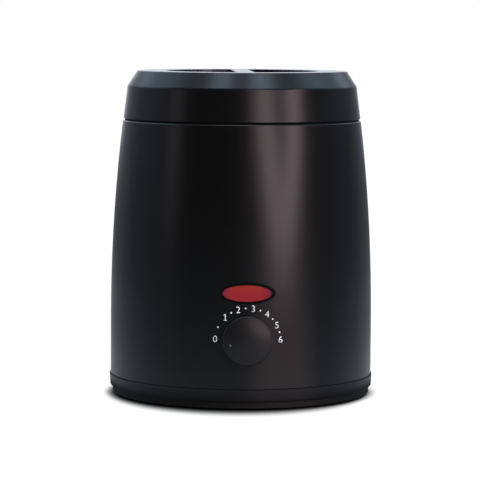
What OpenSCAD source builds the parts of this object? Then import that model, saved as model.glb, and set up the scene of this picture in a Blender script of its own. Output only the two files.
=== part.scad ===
// Tabletop wax warmer: a tapered plastic body with a lift-off lid, a wax pot with a bail,
// a heated well, and a turning thermostat knob under an oval pilot light.
// The origin is on the table under the middle of the body, +Z is up and the knob faces -Y.

/* [Body shell] */
// Width across the body shell below its bow
body_d = 124; // [112:0.5:130]
// Width across the shell's top edge
body_top_d = 112.6; // [111:0.2:126]
// Height of the shell's top edge above the table
body_top = 129.6; // [126:0.2:140]
// Height above the table where the side starts to bow
bow_start = 35; // [20:1:45]
// Thickness of the shell's wall
shell_wall = 2.4; // [1.8:0.1:2.8]
// Bevel round the shell's top edge
top_bevel = 0.5; // [0.2:0.1:0.8]
// Bevel round the shell's bottom edge, which draws the seam line
seam_bevel = 0.3; // [0.1:0.1:0.6]

/* [Base pan] */
// How far the pan's flange stands out past the shell
flange_step = 0.5; // [0.2:0.1:1]
// Height of the flange's top above the table
flange_top = 9.6; // [9:0.2:12]
// Height of the skirt's lower edge above the table
skirt_low = 3.6; // [3:0.1:4.2]
// Bevel round the skirt's lower edge
skirt_bevel = 0.8; // [0.3:0.1:1.2]
// How far the skirt draws in from its top to its bottom
skirt_draft = 0.3; // [0:0.1:0.6]
// How far the plinth ring stands in from the flange
plinth_step = 1.5; // [0.8:0.1:3]
// Height of the plinth ring's lower edge above the table
plinth_low = 1; // [0.6:0.1:1.6]
// Thickness of the pan's floor and rings
pan_wall = 2.2; // [1.8:0.1:2.6]
// How far the pan's spigot reaches up inside the shell
spigot_h = 5; // [3:0.5:7]
// Distance of the vent slots' inner ends from the middle
vent_in = 17; // [14:1:20]
// Distance of the vent slots' outer ends from the middle
vent_out = 37; // [30:1:40]
// Width of a vent slot
vent_w = 2.4; // [1.6:0.2:3]
// Angle from one vent slot to the next
vent_pitch = 18; // [12:1:24]

/* [Feet] */
// Width of a foot pad
foot_d = 14; // [10:0.5:15]
// Distance of a foot's middle in from the flange's edge
foot_in = 12.5; // [11:0.5:16]
// Width of a foot's stem
foot_stem_d = 5; // [4:0.2:6]
// Rounding of the foot pad's lower edge
foot_round = 1; // [0.4:0.1:1.5]

/* [Case screws] */
// Thread width of the case screws
case_screw_d = 3; // [2.6:0.1:3.4]
// Width of a case screw's head
case_head_d = 5.6; // [5:0.1:6]
// Height of a case screw's head
case_head_h = 2; // [1.4:0.1:2.2]
// Length of a case screw under its head
case_screw_l = 12; // [9:1:14]
// Distance of the base screws in from the flange's edge
base_screw_in = 14.5; // [13:0.5:18]
// Width of the bosses that the case screws bite into
boss_d = 7.4; // [6.6:0.2:8]

/* [Collar] */
// Height of the dark gap between the shell and the lid
seam_gap = 0.8; // [0.4:0.1:1.2]
// How far the gap's floor stands in from the shell's outside
seam_inset = 0.9; // [0.6:0.1:1.4]
// Thickness of the collar's wall round its mouth
collar_wall = 2; // [1.6:0.1:2.4]
// How far the collar reaches up inside the lid
collar_up = 4; // [2.5:0.5:6]
// Depth of the collar's web below the shell's top edge
web_drop = 3.6; // [3:0.1:5]
// Thickness of the collar's web
web_t = 2; // [1.6:0.1:2.6]
// Distance of the collar screws in from the collar's mouth
collar_screw_in = 4.2; // [3.6:0.1:4.6]

/* [Well and heater] */
// Gap between the pot and the well's wall
well_gap = 1.2; // [0.8:0.1:1.6]
// Thickness of the well's sheet
well_t = 1.2; // [1:0.1:1.5]
// Rounding at the bottom of the well
well_round = 4; // [2:0.5:6]
// Height of the heater band
heater_h = 24; // [18:1:28]
// Height of the heater band's lower edge above the well's floor
heater_up = 6; // [4:0.5:8]
// Thickness of the heater band
heater_t = 1.2; // [0.8:0.1:1.4]
// Opening angle of the heater band's joint
heater_gap_a = 18; // [14:1:24]
// Height of the clamp strap
clamp_h = 8; // [6:0.5:12]
// Thickness of the clamp strap
clamp_t = 0.6; // [0.5:0.1:0.8]
// Thickness of the insulation sleeve
insulation_t = 4; // [3:0.5:6]
// Opening angle of the insulation sleeve's joint
insulation_gap_a = 34; // [30:1:44]

/* [Thermostat and knob] */
// Height of the knob's middle above the table
knob_z = 32.4; // [30:0.2:34]
// Width of the knob
knob_d = 22.6; // [18:0.2:26]
// Thickness of the knob in front of the shell
knob_t = 5; // [4:0.2:8]
// Gap between the knob and the shell
knob_gap = 0.6; // [0.4:0.1:1]
// Rounding of the knob's front edge
knob_round = 1.2; // [0.5:0.1:1.6]
// How far the knob's face crowns
knob_crown = 0.8; // [0.2:0.1:1.2]
// Distance of the pointer mark in from the knob's edge
mark_in = 3.2; // [2.4:0.2:5]
// Width of the knob's hub
hub_d = 10; // [9:0.2:11]
// Width of the thermostat's shaft
shaft_d = 6; // [5:0.5:6]
// Depth of the flat on the shaft
shaft_flat = 0.8; // [0.6:0.1:1.2]
// Width of the thermostat's threaded bush
bush_d = 9.4; // [9:0.1:10]
// Width of the thermostat's steel can
can_d = 25; // [22:0.5:26]
// Depth of the thermostat's steel can
can_h = 7.8; // [6:0.2:9]
// Width of the ceramic base behind the can
ceramic_w = 24; // [20:0.5:26]
// Depth of the ceramic base behind the can
ceramic_h = 11; // [8:0.5:13]
// Thickness of the thermostat's bracket
bracket_t = 1.2; // [0.8:0.1:1.6]
// Distance of the bracket's screws from the middle of the knob
bracket_screw_x = 17; // [16.5:0.5:19]

/* [Pilot light] */
// Height of the lens's middle above the knob's middle
lens_up = 21.1; // [20.6:0.1:26]
// Width of the lens
lens_w = 23.4; // [18:0.2:24]
// Height of the lens
lens_h = 8; // [6:0.2:9]
// Gap between the lens and its opening
lens_gap = 0.4; // [0.2:0.1:0.6]
// How far the lens lies back from the shell's outside
lens_recess = 1.2; // [0.6:0.1:1.4]
// How far the lens's flange reaches past its edge
lens_lip = 2.2; // [1.4:0.1:2.6]
// Width of the neon lamp's glass
lamp_d = 5; // [4:0.2:6]
// Length of the neon lamp
lamp_l = 10; // [8:0.5:12]

/* [Cord gland] */
// Height of the gland's middle above the table
gland_z = 27; // [25:0.5:32]
// Width of the bore in the gland's nose, which the cord passes through
gland_bore_d = 6.8; // [6:0.1:7.2]
// Length of the bore in the gland's nose
gland_bore_l = 4.4; // [3.6:0.1:4.6]
// Width of the gland's threaded body
gland_d = 12; // [10.5:0.5:13]
// Width of the gland's flange
gland_flange_d = 17; // [15:0.5:19]
// How far the gland stands out past the shell
gland_out = 5; // [4:0.5:6]

/* [Pot and bail] */
// Width across the pot
pot_d = 76; // [74:0.5:77]
// Height of the pot
pot_h = 56; // [48:1:60]
// Thickness of the pot's wall
pot_wall = 0.8; // [0.6:0.1:1.2]
// Rounding at the bottom of the pot
pot_round = 5; // [3:0.5:8]
// Height of the pot's lip above the shell's top edge
lip_rise = 2.4; // [2:0.1:3]
// How far the pot's lip reaches past its wall
lip_out = 4.6; // [4:0.1:5]
// Width of the bead round the lip
bead_d = 2; // [1.4:0.1:2.4]
// Width of a bail ear
ear_w = 10; // [8:0.5:12]
// Thickness of a bail ear
ear_t = 1; // [0.8:0.1:1.2]
// Height of the bail's pivot above the lip
pivot_up = 4.4; // [4:0.1:5]
// Width of the bail's wire
wire_d = 2.2; // [1.6:0.1:2.6]

/* [Lid] */
// How far the lid's lower edge stands in from the shell's top edge
lid_step = 0.2; // [0:0.1:0.8]
// Height of the lid above the seam gap
lid_h = 22.5; // [20:0.5:26]
// How far the lid's side draws in up to its shoulder
side_in = 1.9; // [1:0.1:3]
// Height of the lid's sloping shoulder
shoulder_h = 7.2; // [5:0.2:9]
// How far the shoulder slopes in up to the lid's flat top
shoulder_in = 4.7; // [3:0.1:7]
// Rounding where the lid's shoulder starts
shoulder_round = 2; // [0.5:0.1:3]
// Rounding round the lid's flat top
rim_round = 0.6; // [0.3:0.1:1]
// Thickness of the lid's walls
lid_wall = 2.2; // [1.8:0.1:2.6]
// Width of the recess in the lid's top
recess_d = 72; // [66:0.5:74]
// Depth of the recess in the lid's top
recess_h = 9; // [7:0.5:10]
// How far the recess draws in from its top to its floor
recess_draft = 1.5; // [0.5:0.1:2.5]
// Width of the grip bar across the recess
bar_w = 8.4; // [6:0.2:12]
// Rounding where the grip bar meets the recess's wall
bar_round = 2.4; // [1:0.1:4]

/* [Clearances] */
// Gap between mouldings that push together
push_gap = 0.3; // [0.2:0.05:0.4]
// Radial gap of a pin or shaft that turns
turn_gap = 0.05; // [0.02:0.01:0.1]
// Radial gap of a screw in the plastic that it bites
bite_gap = 0.05; // [0.02:0.01:0.1]
// Radial gap of a screw in a plain hole
screw_gap = 0.2; // [0.1:0.05:0.3]
// Gap between sheet parts that are wrapped or clamped together
wrap_gap = 0.1; // [0.05:0.05:0.2]

/* [Hidden] */

// how finely round shapes are drawn
$fn = 64;
wide_fn = 180;
bow_fn = 720;
past = 1; // how far a cutter runs past what it cuts
weld = 0.1; // how far two shapes of one piece run into each other
tip_room = 0.4; // free length past a screw's tip or a shaft's end
head_gap = 0.4; // radial gap round a sunk screw's head

// the shell's side: straight to bow_start, then one arc that bows in to a narrower top edge, or
// out to a wider one
body_r = body_d / 2;
body_top_r = body_top_d / 2;
bow_h = body_top - bow_start;
bow_in = body_r - body_top_r;
bow_r = (bow_h * bow_h + bow_in * bow_in) / (2 * abs(bow_in));
function bow_at(z) = bow_r - sqrt(bow_r * bow_r - pow(z - bow_start, 2));
function side_r(z) = body_r - (z > bow_start ? sign(bow_in) * bow_at(z) : 0);
function inner_r(z) = side_r(z) - shell_wall;

// the base pan
pan_r = body_r + flange_step;
floor_top = skirt_low + pan_wall;
spigot_r = body_r - shell_wall - push_gap;
plinth_r = pan_r - plinth_step;
foot_count = 4;
foot_r = pan_r - foot_in;
base_screw_count = 3;
base_screw_r = pan_r - base_screw_in;
head_sink = 1.6; // how far a base screw's head lies up inside its counterbore
head_wall = 1.6; // of the pan round a sunk head
head_seat = skirt_low + head_sink + case_head_h;
boss_cap = 2; // solid length of a boss past its screw hole
base_hole_end = head_seat + case_screw_l + tip_room;
vent_first = 135;
vent_last = 405;

// the collar and the lid's seat
lid_low = body_top + seam_gap;
lid_low_r = body_top_r - lid_step;
lid_side_r = lid_low_r - side_in;
lid_top_r = lid_side_r - shoulder_in;
lid_top = lid_low + lid_h;
shoulder_z = lid_top - shoulder_h;
web_low = body_top - web_drop - web_t;
web_top = web_low + web_t;
collar_r = body_top_r - shell_wall - push_gap;
lid_taper = side_in / (lid_h - shoulder_h);
spigot_top = lid_low + collar_up;
collar_out = lid_low_r - lid_taper * collar_up - lid_wall - 1.5 * push_gap;
collar_in = collar_out - collar_wall;
collar_bevel = 0.5;
mouth_gap = 0.6; // between the web's inner edge and the well
collar_screw_count = 3;
collar_screw_first = 30;
collar_screw_r = collar_in - collar_screw_in;
collar_hole_end = web_top + well_t - case_screw_l - tip_room;

// the pot hangs over the well and stands on its floor
pot_r = pot_d / 2;
lip_top = body_top + lip_rise;
pot_low = lip_top - pot_h;
lip_r = pot_r + lip_out - bead_d / 2;
ear_foot = 4.4;
ear_in = 0.4; // how far the ears stand in from the lip's edge
ear_out = lip_r + bead_d / 2 - ear_in;
ear_top_r = ear_w / 2;
pivot_z = lip_top + ear_t + pivot_up;
bail_r = ear_out + wire_d;
rivet_d = 1.5;
rivet_head_d = 2.4;
rivet_head_h = 0.6;
rivet_x = ear_out - 2.9;
rivet_y = ear_w / 4;

// the well, the heater wrapped round it and the sleeve round both
well_r = pot_r + well_gap;
well_out = well_r + well_t;
well_low = pot_low - well_t;
well_flange_r = collar_in - push_gap;
heater_in = well_out + wrap_gap;
heater_out = heater_in + heater_t;
heater_low = pot_low + heater_up;
clamp_in = heater_out + wrap_gap;
clamp_out = clamp_in + clamp_t;
clamp_low = heater_low + (heater_h - clamp_h) / 2;
clamp_gap = 5;
clamp_ear_t = 1;
clamp_ear_l = 8;
clamp_bolt_d = 3;
clamp_bolt_r = clamp_out + 4.4;
clamp_head_d = 5;
clamp_head_h = 1.8;
clamp_nut_flats = 5.5;
clamp_nut_t = 2.2;
insulation_in = clamp_out + wrap_gap;
insulation_past = 2.5; // the heater, at the sleeve's two edges
insulation_low = heater_low - insulation_past;
insulation_h = heater_h + 2 * insulation_past;
tag_w = 4;
tag_t = 0.6;
tag_up = 6;
tag_low = well_low;
tag_in = heater_out + wrap_gap;
tag_a = heater_gap_a / 2 + 5; // from the back, to each side
rear_a = 90;

// the thermostat stands behind its bracket, in line with the knob
hub_gap = 0.4; // radial gap of the knob's hub in the shell
hub_in = 3; // how far the hub reaches inside the shell
hub_end = body_r - shell_wall - hub_in;
pillar_end = hub_end - 4.6;
pillar_d = 7;
bracket_back = pillar_end - bracket_t;
bracket_w = 2 * bracket_screw_x + pillar_d;
bracket_h = 20;
bush_end = pillar_end + 3.4;
nut_flats = 13;
nut_t = 2.4;
can_back = bracket_back - can_h;
ceramic_back = can_back - ceramic_h;
ceramic_z = 18;
ceramic_notch_d = 4;
tab_w = 6.3;
tab_t = 0.8;
tab_l = 7;
tab_x = 7;
tab_rise = 5.5; // of the lamp's tab above the other two
tab_end = ceramic_back - tab_l;
knob_face = body_r + knob_gap + knob_t;
shaft_end = knob_face - 1.6;
shaft_back = can_back + 2;
knob_hollow = 3;
knob_shell = 1.8;
crown_r = (pow(knob_d / 2, 2) + knob_crown * knob_crown) / (2 * knob_crown);
mark_r = knob_d / 2 - mark_in;
mark_a = 190; // as seen from the front, anticlockwise from the right
mark_d = 1.5;
mark_h = 0.35;
clip_t = 0.5;
clip_w = 2.4;
clip_l = 7;
clip_in = 0.6; // how far the clip lies in from the hub's end
small_screw_d = 2.4;
small_head_d = 4.4;
small_head_h = 1.5;
small_screw_l = 6.2;

// the pilot light sits on a flat pad inside the shell
lens_z = knob_z + lens_up;
lens_front = side_r(lens_z) - lens_recess;
pad_y = hub_end - 1.2;
flange_t = 1.2;
holder_wall = 1.4;
holder_w = lens_w + 2 * lens_lip + 2 * holder_wall;
holder_h = lens_h + 2 * lens_lip + 2 * holder_wall;
holder_d = 9;
holder_back = pad_y - holder_d;
holder_rear = 2;
holder_ear = 5.6;
holder_ear_t = 2;
lamp_screw_d = 2;
lamp_head_d = 3.6;
lamp_head_h = 1.3;
lamp_screw_l = 4.2;
lamp_screw_x = holder_w / 2 + holder_ear / 2;
pad_edge = 0.9; // of the pad round the holder
pad_w = holder_w + 2 * holder_ear + 2 * pad_edge;
pad_h = holder_h + 2 * pad_edge;
lamp_tip = pad_y - flange_t - push_gap;
lamp_back = lamp_tip - lamp_l;
lamp_pin_x = 1.2;

// the gland goes through a flat pad on the back of the shell
gland_seat = body_r - 0.8;
gland_pad = inner_r(gland_z) - 2;
gland_pad_d = gland_flange_d + 5;
gland_end = gland_pad - 5.6;
gland_flange_t = 2.2;
gland_nose_in = 1.5; // how far the nose starts in from the flange's edge
gland_nose_wall = 1.5;
gland_throat_d = gland_bore_d + 1.4; // behind the nose
gland_nut_wall = 2;
gland_nut_t = 4;

// the terminal block stands on two low bosses of the pan
block_w = 42;
block_d = 17;
block_h = 12;
block_y = 26;
block_rise = 3.4;
block_low = floor_top + block_rise;
block_top = block_low + block_h;
pole_pitch = 10;
pole_count = 4;
function pole_x(i) = (i - (pole_count - 1) / 2) * pole_pitch;
block_front = block_y - block_d / 2;
pole_z = block_low + 4.4;
pole_bore_d = 3.2;
pole_screw_d = 3.8;
pole_screw_h = 3;
pole_screw_low = block_top - 4.4;
pole_slot_w = 0.6;
pole_slot_h = 0.8;
block_screw_d = 2.6;
block_screw_l = 14;
block_screw_x = pole_pitch;
block_seat = block_top - 2;
block_boss_d = block_screw_d + 4;

// the fuse and the bulb lie under the well
probe_d = 4;
probe_z = well_low - probe_d / 2 - wrap_gap;
fuse_y = 12;
bulb_y = -12;
fuse_l = 12;
fuse_wire_d = 1;
fuse_wire_l = 5;
bulb_l = 30;
clip_strap_t = 0.6;
clip_strap_w = 8;
clip_tab = 5;
lead_d = 1.8;
lamp_lead_d = 1.2;
capillary_d = 1.2;

// colours
case_black = "#191a1c";
pan_black = "#141517";
rubber_black = "#0d0d0e";
steel = "#b9bcc0";
zinc = "#a6abb0";
brass = "#c9a54e";
alloy = "#c8ccd0";
mica = "#b7a98a";
felt = "#e8e4d6";
ceramic = "#efe9da";
nylon = "#f1efe8";
lens_red = "#a8242c";
lamp_glass = "#f0b070";
copper = "#b87333";
lead_red = "#b02020";
lead_blue = "#2a4fa8";
lead_white = "#e9e6dc";

// points along an arc round c, from angle a0 to a1
function arc(c, r, a0, a1, n = 6) =
    [for (i = [0:n]) let (a = a0 + (a1 - a0) * i / n) [c[0] + r * cos(a), c[1] + r * sin(a)]];

// turns a piece drawn along +Z so that it points out of the front, at height z
module on_front(z) {
    translate([0, 0, z]) rotate([90, 0, 0]) children();
}

// turns a piece drawn along +Z so that it points out of the back, at height z
module on_back(z) {
    translate([0, 0, z]) rotate([-90, 0, 0]) children();
}

// copies a piece round the middle, at radius r
module around(count, r, first = 0) {
    for (i = [0:count - 1]) rotate([0, 0, first + 360 / count * i]) translate([r, 0, 0]) children();
}

module oval(w, h) {
    scale([w / h, 1]) circle(d = h, $fn = 96);
}

module hexagon_rod(flats, h) {
    cylinder(d = flats / cos(30), h = h, $fn = 6);
}

// a screw whose head stands on z = 0 and whose thread points down, with a cross in its head
module screw(d, head_d, head_h, length) {
    side_h = head_h * 0.7;
    face_d = head_d * 0.8;
    cross_w = head_d * 0.18;
    cross_l = head_d * 0.62;
    cross_low = head_h * 0.45;
    difference() {
        union() {
            translate([0, 0, -length]) cylinder(d = d, h = length);
            cylinder(d = head_d, h = side_h);
            translate([0, 0, side_h]) cylinder(d1 = head_d, d2 = face_d, h = head_h - side_h);
        }
        for (a = [0, 90]) rotate([0, 0, a])
            translate([-cross_l / 2, -cross_w / 2, cross_low]) cube([cross_l, cross_w, head_h]);
    }
}

// a round wire swept along points, with its ends cut square
function unit(v) = v / norm(v);
function smooth_at(p, i, t) =
    let (n = len(p) - 1,
         a = i > 0 ? p[i - 1] : 2 * p[0] - p[1],
         b = p[i],
         c = p[i + 1],
         d = i < n - 1 ? p[i + 2] : 2 * p[n] - p[n - 1])
    0.5 * (2 * b + (c - a) * t + (2 * a - 5 * b + 4 * c - d) * t * t + (3 * b - a - 3 * c + d) * t * t * t);
function smooth_path(p, steps) = concat(
    [for (i = [0:len(p) - 2], s = [0:steps - 1]) smooth_at(p, i, s / steps)], [p[len(p) - 1]]);
// the ends point straight along the route's first and last stretch
function heading(p, i, route) =
    i == 0 ? unit(route[1] - route[0])
    : i == len(p) - 1 ? unit(route[len(route) - 1] - route[len(route) - 2])
    : unit(p[i + 1] - p[i - 1]);
function square_to(v, t) = unit(v - (v * t) * t);
function start_side(t) = square_to(abs(t[2]) < 0.8 ? [0, 0, 1] : [1, 0, 0], t);
module wire(route, d, steps = 3, sides = 8) {
    path = smooth_path(route, steps);
    n = len(path);
    side = [for (i = 0, u = start_side(heading(path, 0, route)); i < n;
            i = i + 1, u = i < n ? square_to(u, heading(path, i, route)) : u) u];
    points = [for (i = [0:n - 1], s = [0:sides - 1])
        let (t = heading(path, i, route), u = side[i], w = cross(t, u), a = 360 * s / sides)
        path[i] + d / 2 * (cos(a) * u + sin(a) * w)];
    faces = concat(
        [[for (s = [0:sides - 1]) s]],
        [for (i = [0:n - 2], s = [0:sides - 1])
            let (a = i * sides + s, b = i * sides + (s + 1) % sides)
            [a, a + sides, b]],
        [for (i = [0:n - 2], s = [0:sides - 1])
            let (a = i * sides + s, b = i * sides + (s + 1) % sides)
            [b, a + sides, b + sides]],
        [[for (s = [sides - 1:-1:0]) (n - 1) * sides + s]]);
    polyhedron(points, faces);
}

// the shell's side in outline, drawn in by inset, between two heights
module side_outline(inset, low, high) {
    edge = body_r - inset;
    if (bow_in > 0) intersection() {
        union() {
            translate([edge - bow_r, bow_start]) circle(r = bow_r, $fn = bow_fn);
            translate([0, low]) square([edge, bow_start - low]);
        }
        translate([0, low]) square([edge, high - low]);
    }
    else difference() {
        translate([0, low]) square([edge - bow_in + past, high - low]);
        translate([edge + bow_r, bow_start]) circle(r = bow_r, $fn = bow_fn);
        translate([edge, low]) square([bow_r, bow_start - low]);
    }
}

// a bevelling cutter for an outside corner at radius r and height z
module corner_cut(r, z, bevel) {
    translate([r, z]) rotate(45) square(bevel * sqrt(2), center = true);
}

// the places of the case screws
module at_base_screws() {
    around(base_screw_count, base_screw_r) children();
}

module at_collar_screws() {
    around(collar_screw_count, collar_screw_r, collar_screw_first) children();
}

// the bosses, ribs and pads moulded on the inside of the shell
module shell_inside() {
    rib_w = 2.2;
    rib_low = flange_top + spigot_h + 2 * push_gap;
    base_boss_top = base_hole_end + boss_cap;
    collar_boss_low = collar_hole_end - boss_cap;
    at_base_screws() {
        translate([0, 0, flange_top]) cylinder(d = boss_d, h = base_boss_top - flange_top);
        translate([0, -rib_w / 2, rib_low]) cube([body_r - base_screw_r, rib_w, base_boss_top - rib_low]);
    }
    at_collar_screws() translate([0, 0, collar_boss_low]) {
        cylinder(d = boss_d, h = web_low - collar_boss_low);
        translate([0, -rib_w / 2, 0]) cube([body_r - collar_screw_r, rib_w, web_low - collar_boss_low]);
    }
    on_front(knob_z) for (x = [-1, 1] * bracket_screw_x)
        translate([x, 0, pillar_end]) cylinder(d = pillar_d, h = body_r - pillar_end);
    on_front(lens_z) translate([-pad_w / 2, -pad_h / 2, pad_y]) cube([pad_w, pad_h, body_r - pad_y]);
    on_back(gland_z) translate([0, 0, gland_pad]) cylinder(d = gland_pad_d, h = body_r - gland_pad);
}

// the one-piece plastic body, open at the top and the bottom
module body_shell() {
    color(case_black) difference() {
        union() {
            rotate_extrude($fn = wide_fn) difference() {
                side_outline(0, flange_top, body_top);
                side_outline(shell_wall, flange_top - past, body_top + past);
                corner_cut(body_top_r, body_top, top_bevel);
                corner_cut(body_r, flange_top, seam_bevel);
            }
            intersection() {
                shell_inside();
                rotate_extrude($fn = wide_fn) side_outline(shell_wall / 2, flange_top, body_top);
            }
        }
        // the pilot holes of the case screws
        at_base_screws() translate([0, 0, flange_top - past])
            cylinder(d = case_screw_d + 2 * bite_gap, h = base_hole_end - flange_top + past);
        at_collar_screws() translate([0, 0, collar_hole_end])
            cylinder(d = case_screw_d + 2 * bite_gap, h = web_low - collar_hole_end + past);
        // the knob's hole and the bracket's screw holes
        on_front(knob_z) {
            translate([0, 0, pillar_end]) cylinder(d = hub_d + 2 * hub_gap, h = body_r);
            for (x = [-1, 1] * bracket_screw_x) translate([x, 0, pillar_end - past])
                cylinder(d = small_screw_d + 2 * bite_gap, h = small_screw_l - bracket_t + tip_room + past);
        }
        // the lens's opening and its holder's screw holes
        on_front(lens_z) {
            translate([0, 0, pad_y - past]) linear_extrude(body_r)
                oval(lens_w + 2 * lens_gap, lens_h + 2 * lens_gap);
            for (x = [-1, 1] * lamp_screw_x) translate([x, 0, pad_y - past])
                cylinder(d = lamp_screw_d + 2 * bite_gap, h = lamp_screw_l - holder_ear_t + tip_room + past);
        }
        // the gland's seat and hole
        on_back(gland_z) {
            translate([0, 0, gland_seat]) cylinder(d = gland_flange_d + 2 * push_gap, h = body_r);
            translate([0, 0, gland_pad - past]) cylinder(d = gland_d + 2 * wrap_gap, h = body_r);
        }
    }
}

// the moulded floor: its spigot centres it in the shell, whose edge stands on its flange
module base_pan() {
    slot_h = pan_wall + 2 * past;
    color(pan_black) difference() {
        union() {
            rotate_extrude($fn = wide_fn) polygon([
                [0, skirt_low],
                [plinth_r - pan_wall, skirt_low],
                [plinth_r - pan_wall, plinth_low],
                [plinth_r, plinth_low],
                [plinth_r, skirt_low],
                [pan_r - skirt_draft - skirt_bevel, skirt_low],
                [pan_r - skirt_draft, skirt_low + skirt_bevel],
                [pan_r, flange_top - seam_bevel],
                [pan_r - seam_bevel, flange_top],
                [spigot_r, flange_top],
                [spigot_r, flange_top + spigot_h],
                [spigot_r - pan_wall, flange_top + spigot_h],
                [spigot_r - pan_wall, floor_top],
                [0, floor_top]
            ]);
            at_base_screws() translate([0, 0, skirt_low])
                cylinder(d = case_head_d + 2 * (head_gap + head_wall), h = flange_top - skirt_low);
            for (x = [-1, 1] * block_screw_x) translate([x, block_y, skirt_low])
                cylinder(d = block_boss_d, h = block_low - skirt_low);
        }
        at_base_screws() {
            translate([0, 0, skirt_low - past])
                cylinder(d = case_head_d + 2 * head_gap, h = head_seat - skirt_low + past);
            translate([0, 0, head_seat - past]) cylinder(d = case_screw_d + 2 * screw_gap, h = flange_top);
        }
        for (x = [-1, 1] * block_screw_x) translate([x, block_y, block_seat - block_screw_l - tip_room])
            cylinder(d = block_screw_d + 2 * bite_gap, h = block_screw_l);
        around(foot_count, foot_r, 45) translate([0, 0, skirt_low - past])
            cylinder(d = foot_stem_d + 2 * wrap_gap, h = slot_h);
        // the vent slots fan round the front and the sides, clear of the terminal block
        for (a = [vent_first:vent_pitch:vent_last]) rotate([0, 0, a]) translate([0, 0, skirt_low - past]) {
            translate([vent_in, -vent_w / 2, 0]) cube([vent_out - vent_in, vent_w, slot_h]);
            for (r = [vent_in, vent_out]) translate([r, 0, 0]) cylinder(d = vent_w, h = slot_h);
        }
    }
}

// four rubber feet, pushed through the pan's floor and held by a barb
module feet() {
    pad_r = foot_d / 2;
    pad_top = skirt_low - wrap_gap;
    stem_r = foot_stem_d / 2;
    barb_low = floor_top + wrap_gap;
    barb_top = barb_low + 2.4;
    barb_r = stem_r + 0.7;
    tip_r = stem_r - 0.4;
    color(rubber_black) around(foot_count, foot_r, 45) rotate_extrude() polygon(concat(
        [[0, 0]],
        arc([pad_r - foot_round, foot_round], foot_round, -90, 0),
        [[pad_r, pad_top], [stem_r, pad_top], [stem_r, barb_low], [barb_r, barb_low], [tip_r, barb_top],
         [0, barb_top]]));
}

// self-tapping screws that hold the pan to the shell, from below
module base_screws() {
    color(zinc) at_base_screws() translate([0, 0, head_seat]) rotate([180, 0, 0])
        screw(case_screw_d, case_head_d, case_head_h, case_screw_l);
}

// the heat-resistant ring in the shell's mouth, which carries the well and centres the lid
module top_collar() {
    color(pan_black) difference() {
        rotate_extrude($fn = wide_fn) polygon([
            [well_out + mouth_gap, web_low],
            [collar_r, web_low],
            [collar_r, body_top],
            [body_top_r - seam_inset, body_top],
            [body_top_r - seam_inset, lid_low],
            [collar_out, lid_low],
            [collar_out, spigot_top - collar_bevel],
            [collar_out - collar_bevel, spigot_top],
            [collar_in, spigot_top],
            [collar_in, web_top],
            [well_out + mouth_gap, web_top]
        ]);
        at_collar_screws() translate([0, 0, web_low - past])
            cylinder(d = case_screw_d + 2 * screw_gap, h = web_t + 2 * past);
    }
}

// screws through the well's flange and the collar's web into the shell
module collar_screws() {
    color(steel) at_collar_screws() translate([0, 0, web_top + well_t])
        screw(case_screw_d, case_head_d, case_head_h, case_screw_l);
}

// the drawn aluminium well that the pot stands in
module heating_well() {
    color(alloy) difference() {
        rotate_extrude($fn = wide_fn) polygon(concat(
            [[0, well_low]],
            arc([well_out - well_round, well_low + well_round], well_round, -90, 0),
            [[well_out, web_top],
             [well_flange_r, web_top],
             [well_flange_r, web_top + well_t],
             [well_r, web_top + well_t]],
            arc([well_out - well_round, well_low + well_round], well_round - well_t, 0, -90),
            [[0, well_low + well_t]]));
        at_collar_screws() translate([0, 0, web_top - past])
            cylinder(d = case_screw_d + 2 * screw_gap, h = well_t + 2 * past);
    }
}

// the flat heating element, wrapped round the well with its joint at the back
module heater_band() {
    color(mica) rotate([0, 0, rear_a + heater_gap_a / 2])
        rotate_extrude(angle = 360 - heater_gap_a, $fn = wide_fn)
            translate([heater_in, heater_low]) square([heater_t, heater_h]);
}

// the element's two brass tags, one on each side of its joint
module heater_tags() {
    color(brass) for (side = [-1, 1]) rotate([0, 0, rear_a + side * tag_a])
        translate([tag_in, -tag_w / 2, tag_low]) cube([tag_t, tag_w, heater_low + tag_up - tag_low]);
}

// the steel strap that holds the element on the well, with two ears for its bolt
module band_clamp() {
    half_a = asin(clamp_gap / 2 / clamp_in);
    color(steel) difference() {
        union() {
            rotate([0, 0, rear_a + half_a]) rotate_extrude(angle = 360 - 2 * half_a, $fn = wide_fn)
                translate([clamp_in, clamp_low]) square([clamp_t, clamp_h]);
            for (side = [0, 1]) mirror([side, 0, 0])
                translate([clamp_gap / 2, clamp_in, clamp_low])
                    cube([clamp_ear_t, clamp_out + clamp_ear_l - clamp_in, clamp_h]);
        }
        translate([-clamp_gap, clamp_bolt_r, clamp_low + clamp_h / 2]) rotate([0, 90, 0])
            cylinder(d = clamp_bolt_d + 2 * screw_gap, h = 2 * clamp_gap);
    }
}

// the bolt and nut that draw the strap tight
module clamp_screw() {
    ear_face = clamp_gap / 2 + clamp_ear_t;
    color(zinc) translate([0, clamp_bolt_r, clamp_low + clamp_h / 2]) {
        translate([-ear_face, 0, 0]) rotate([0, -90, 0])
            screw(clamp_bolt_d, clamp_head_d, clamp_head_h, 2 * ear_face + clamp_nut_t + tip_room);
        translate([ear_face, 0, 0]) rotate([0, 90, 0]) difference() {
            hexagon_rod(clamp_nut_flats, clamp_nut_t);
            translate([0, 0, -past]) cylinder(d = clamp_bolt_d + 2 * bite_gap, h = clamp_nut_t + 2 * past);
        }
    }
}

// the glass-fibre sleeve round the heater, open at the back for the strap's bolt
module insulation_sleeve() {
    color(felt) rotate([0, 0, rear_a + insulation_gap_a / 2])
        rotate_extrude(angle = 360 - insulation_gap_a, $fn = wide_fn)
            translate([insulation_in, insulation_low]) square([insulation_t, insulation_h]);
}

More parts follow.
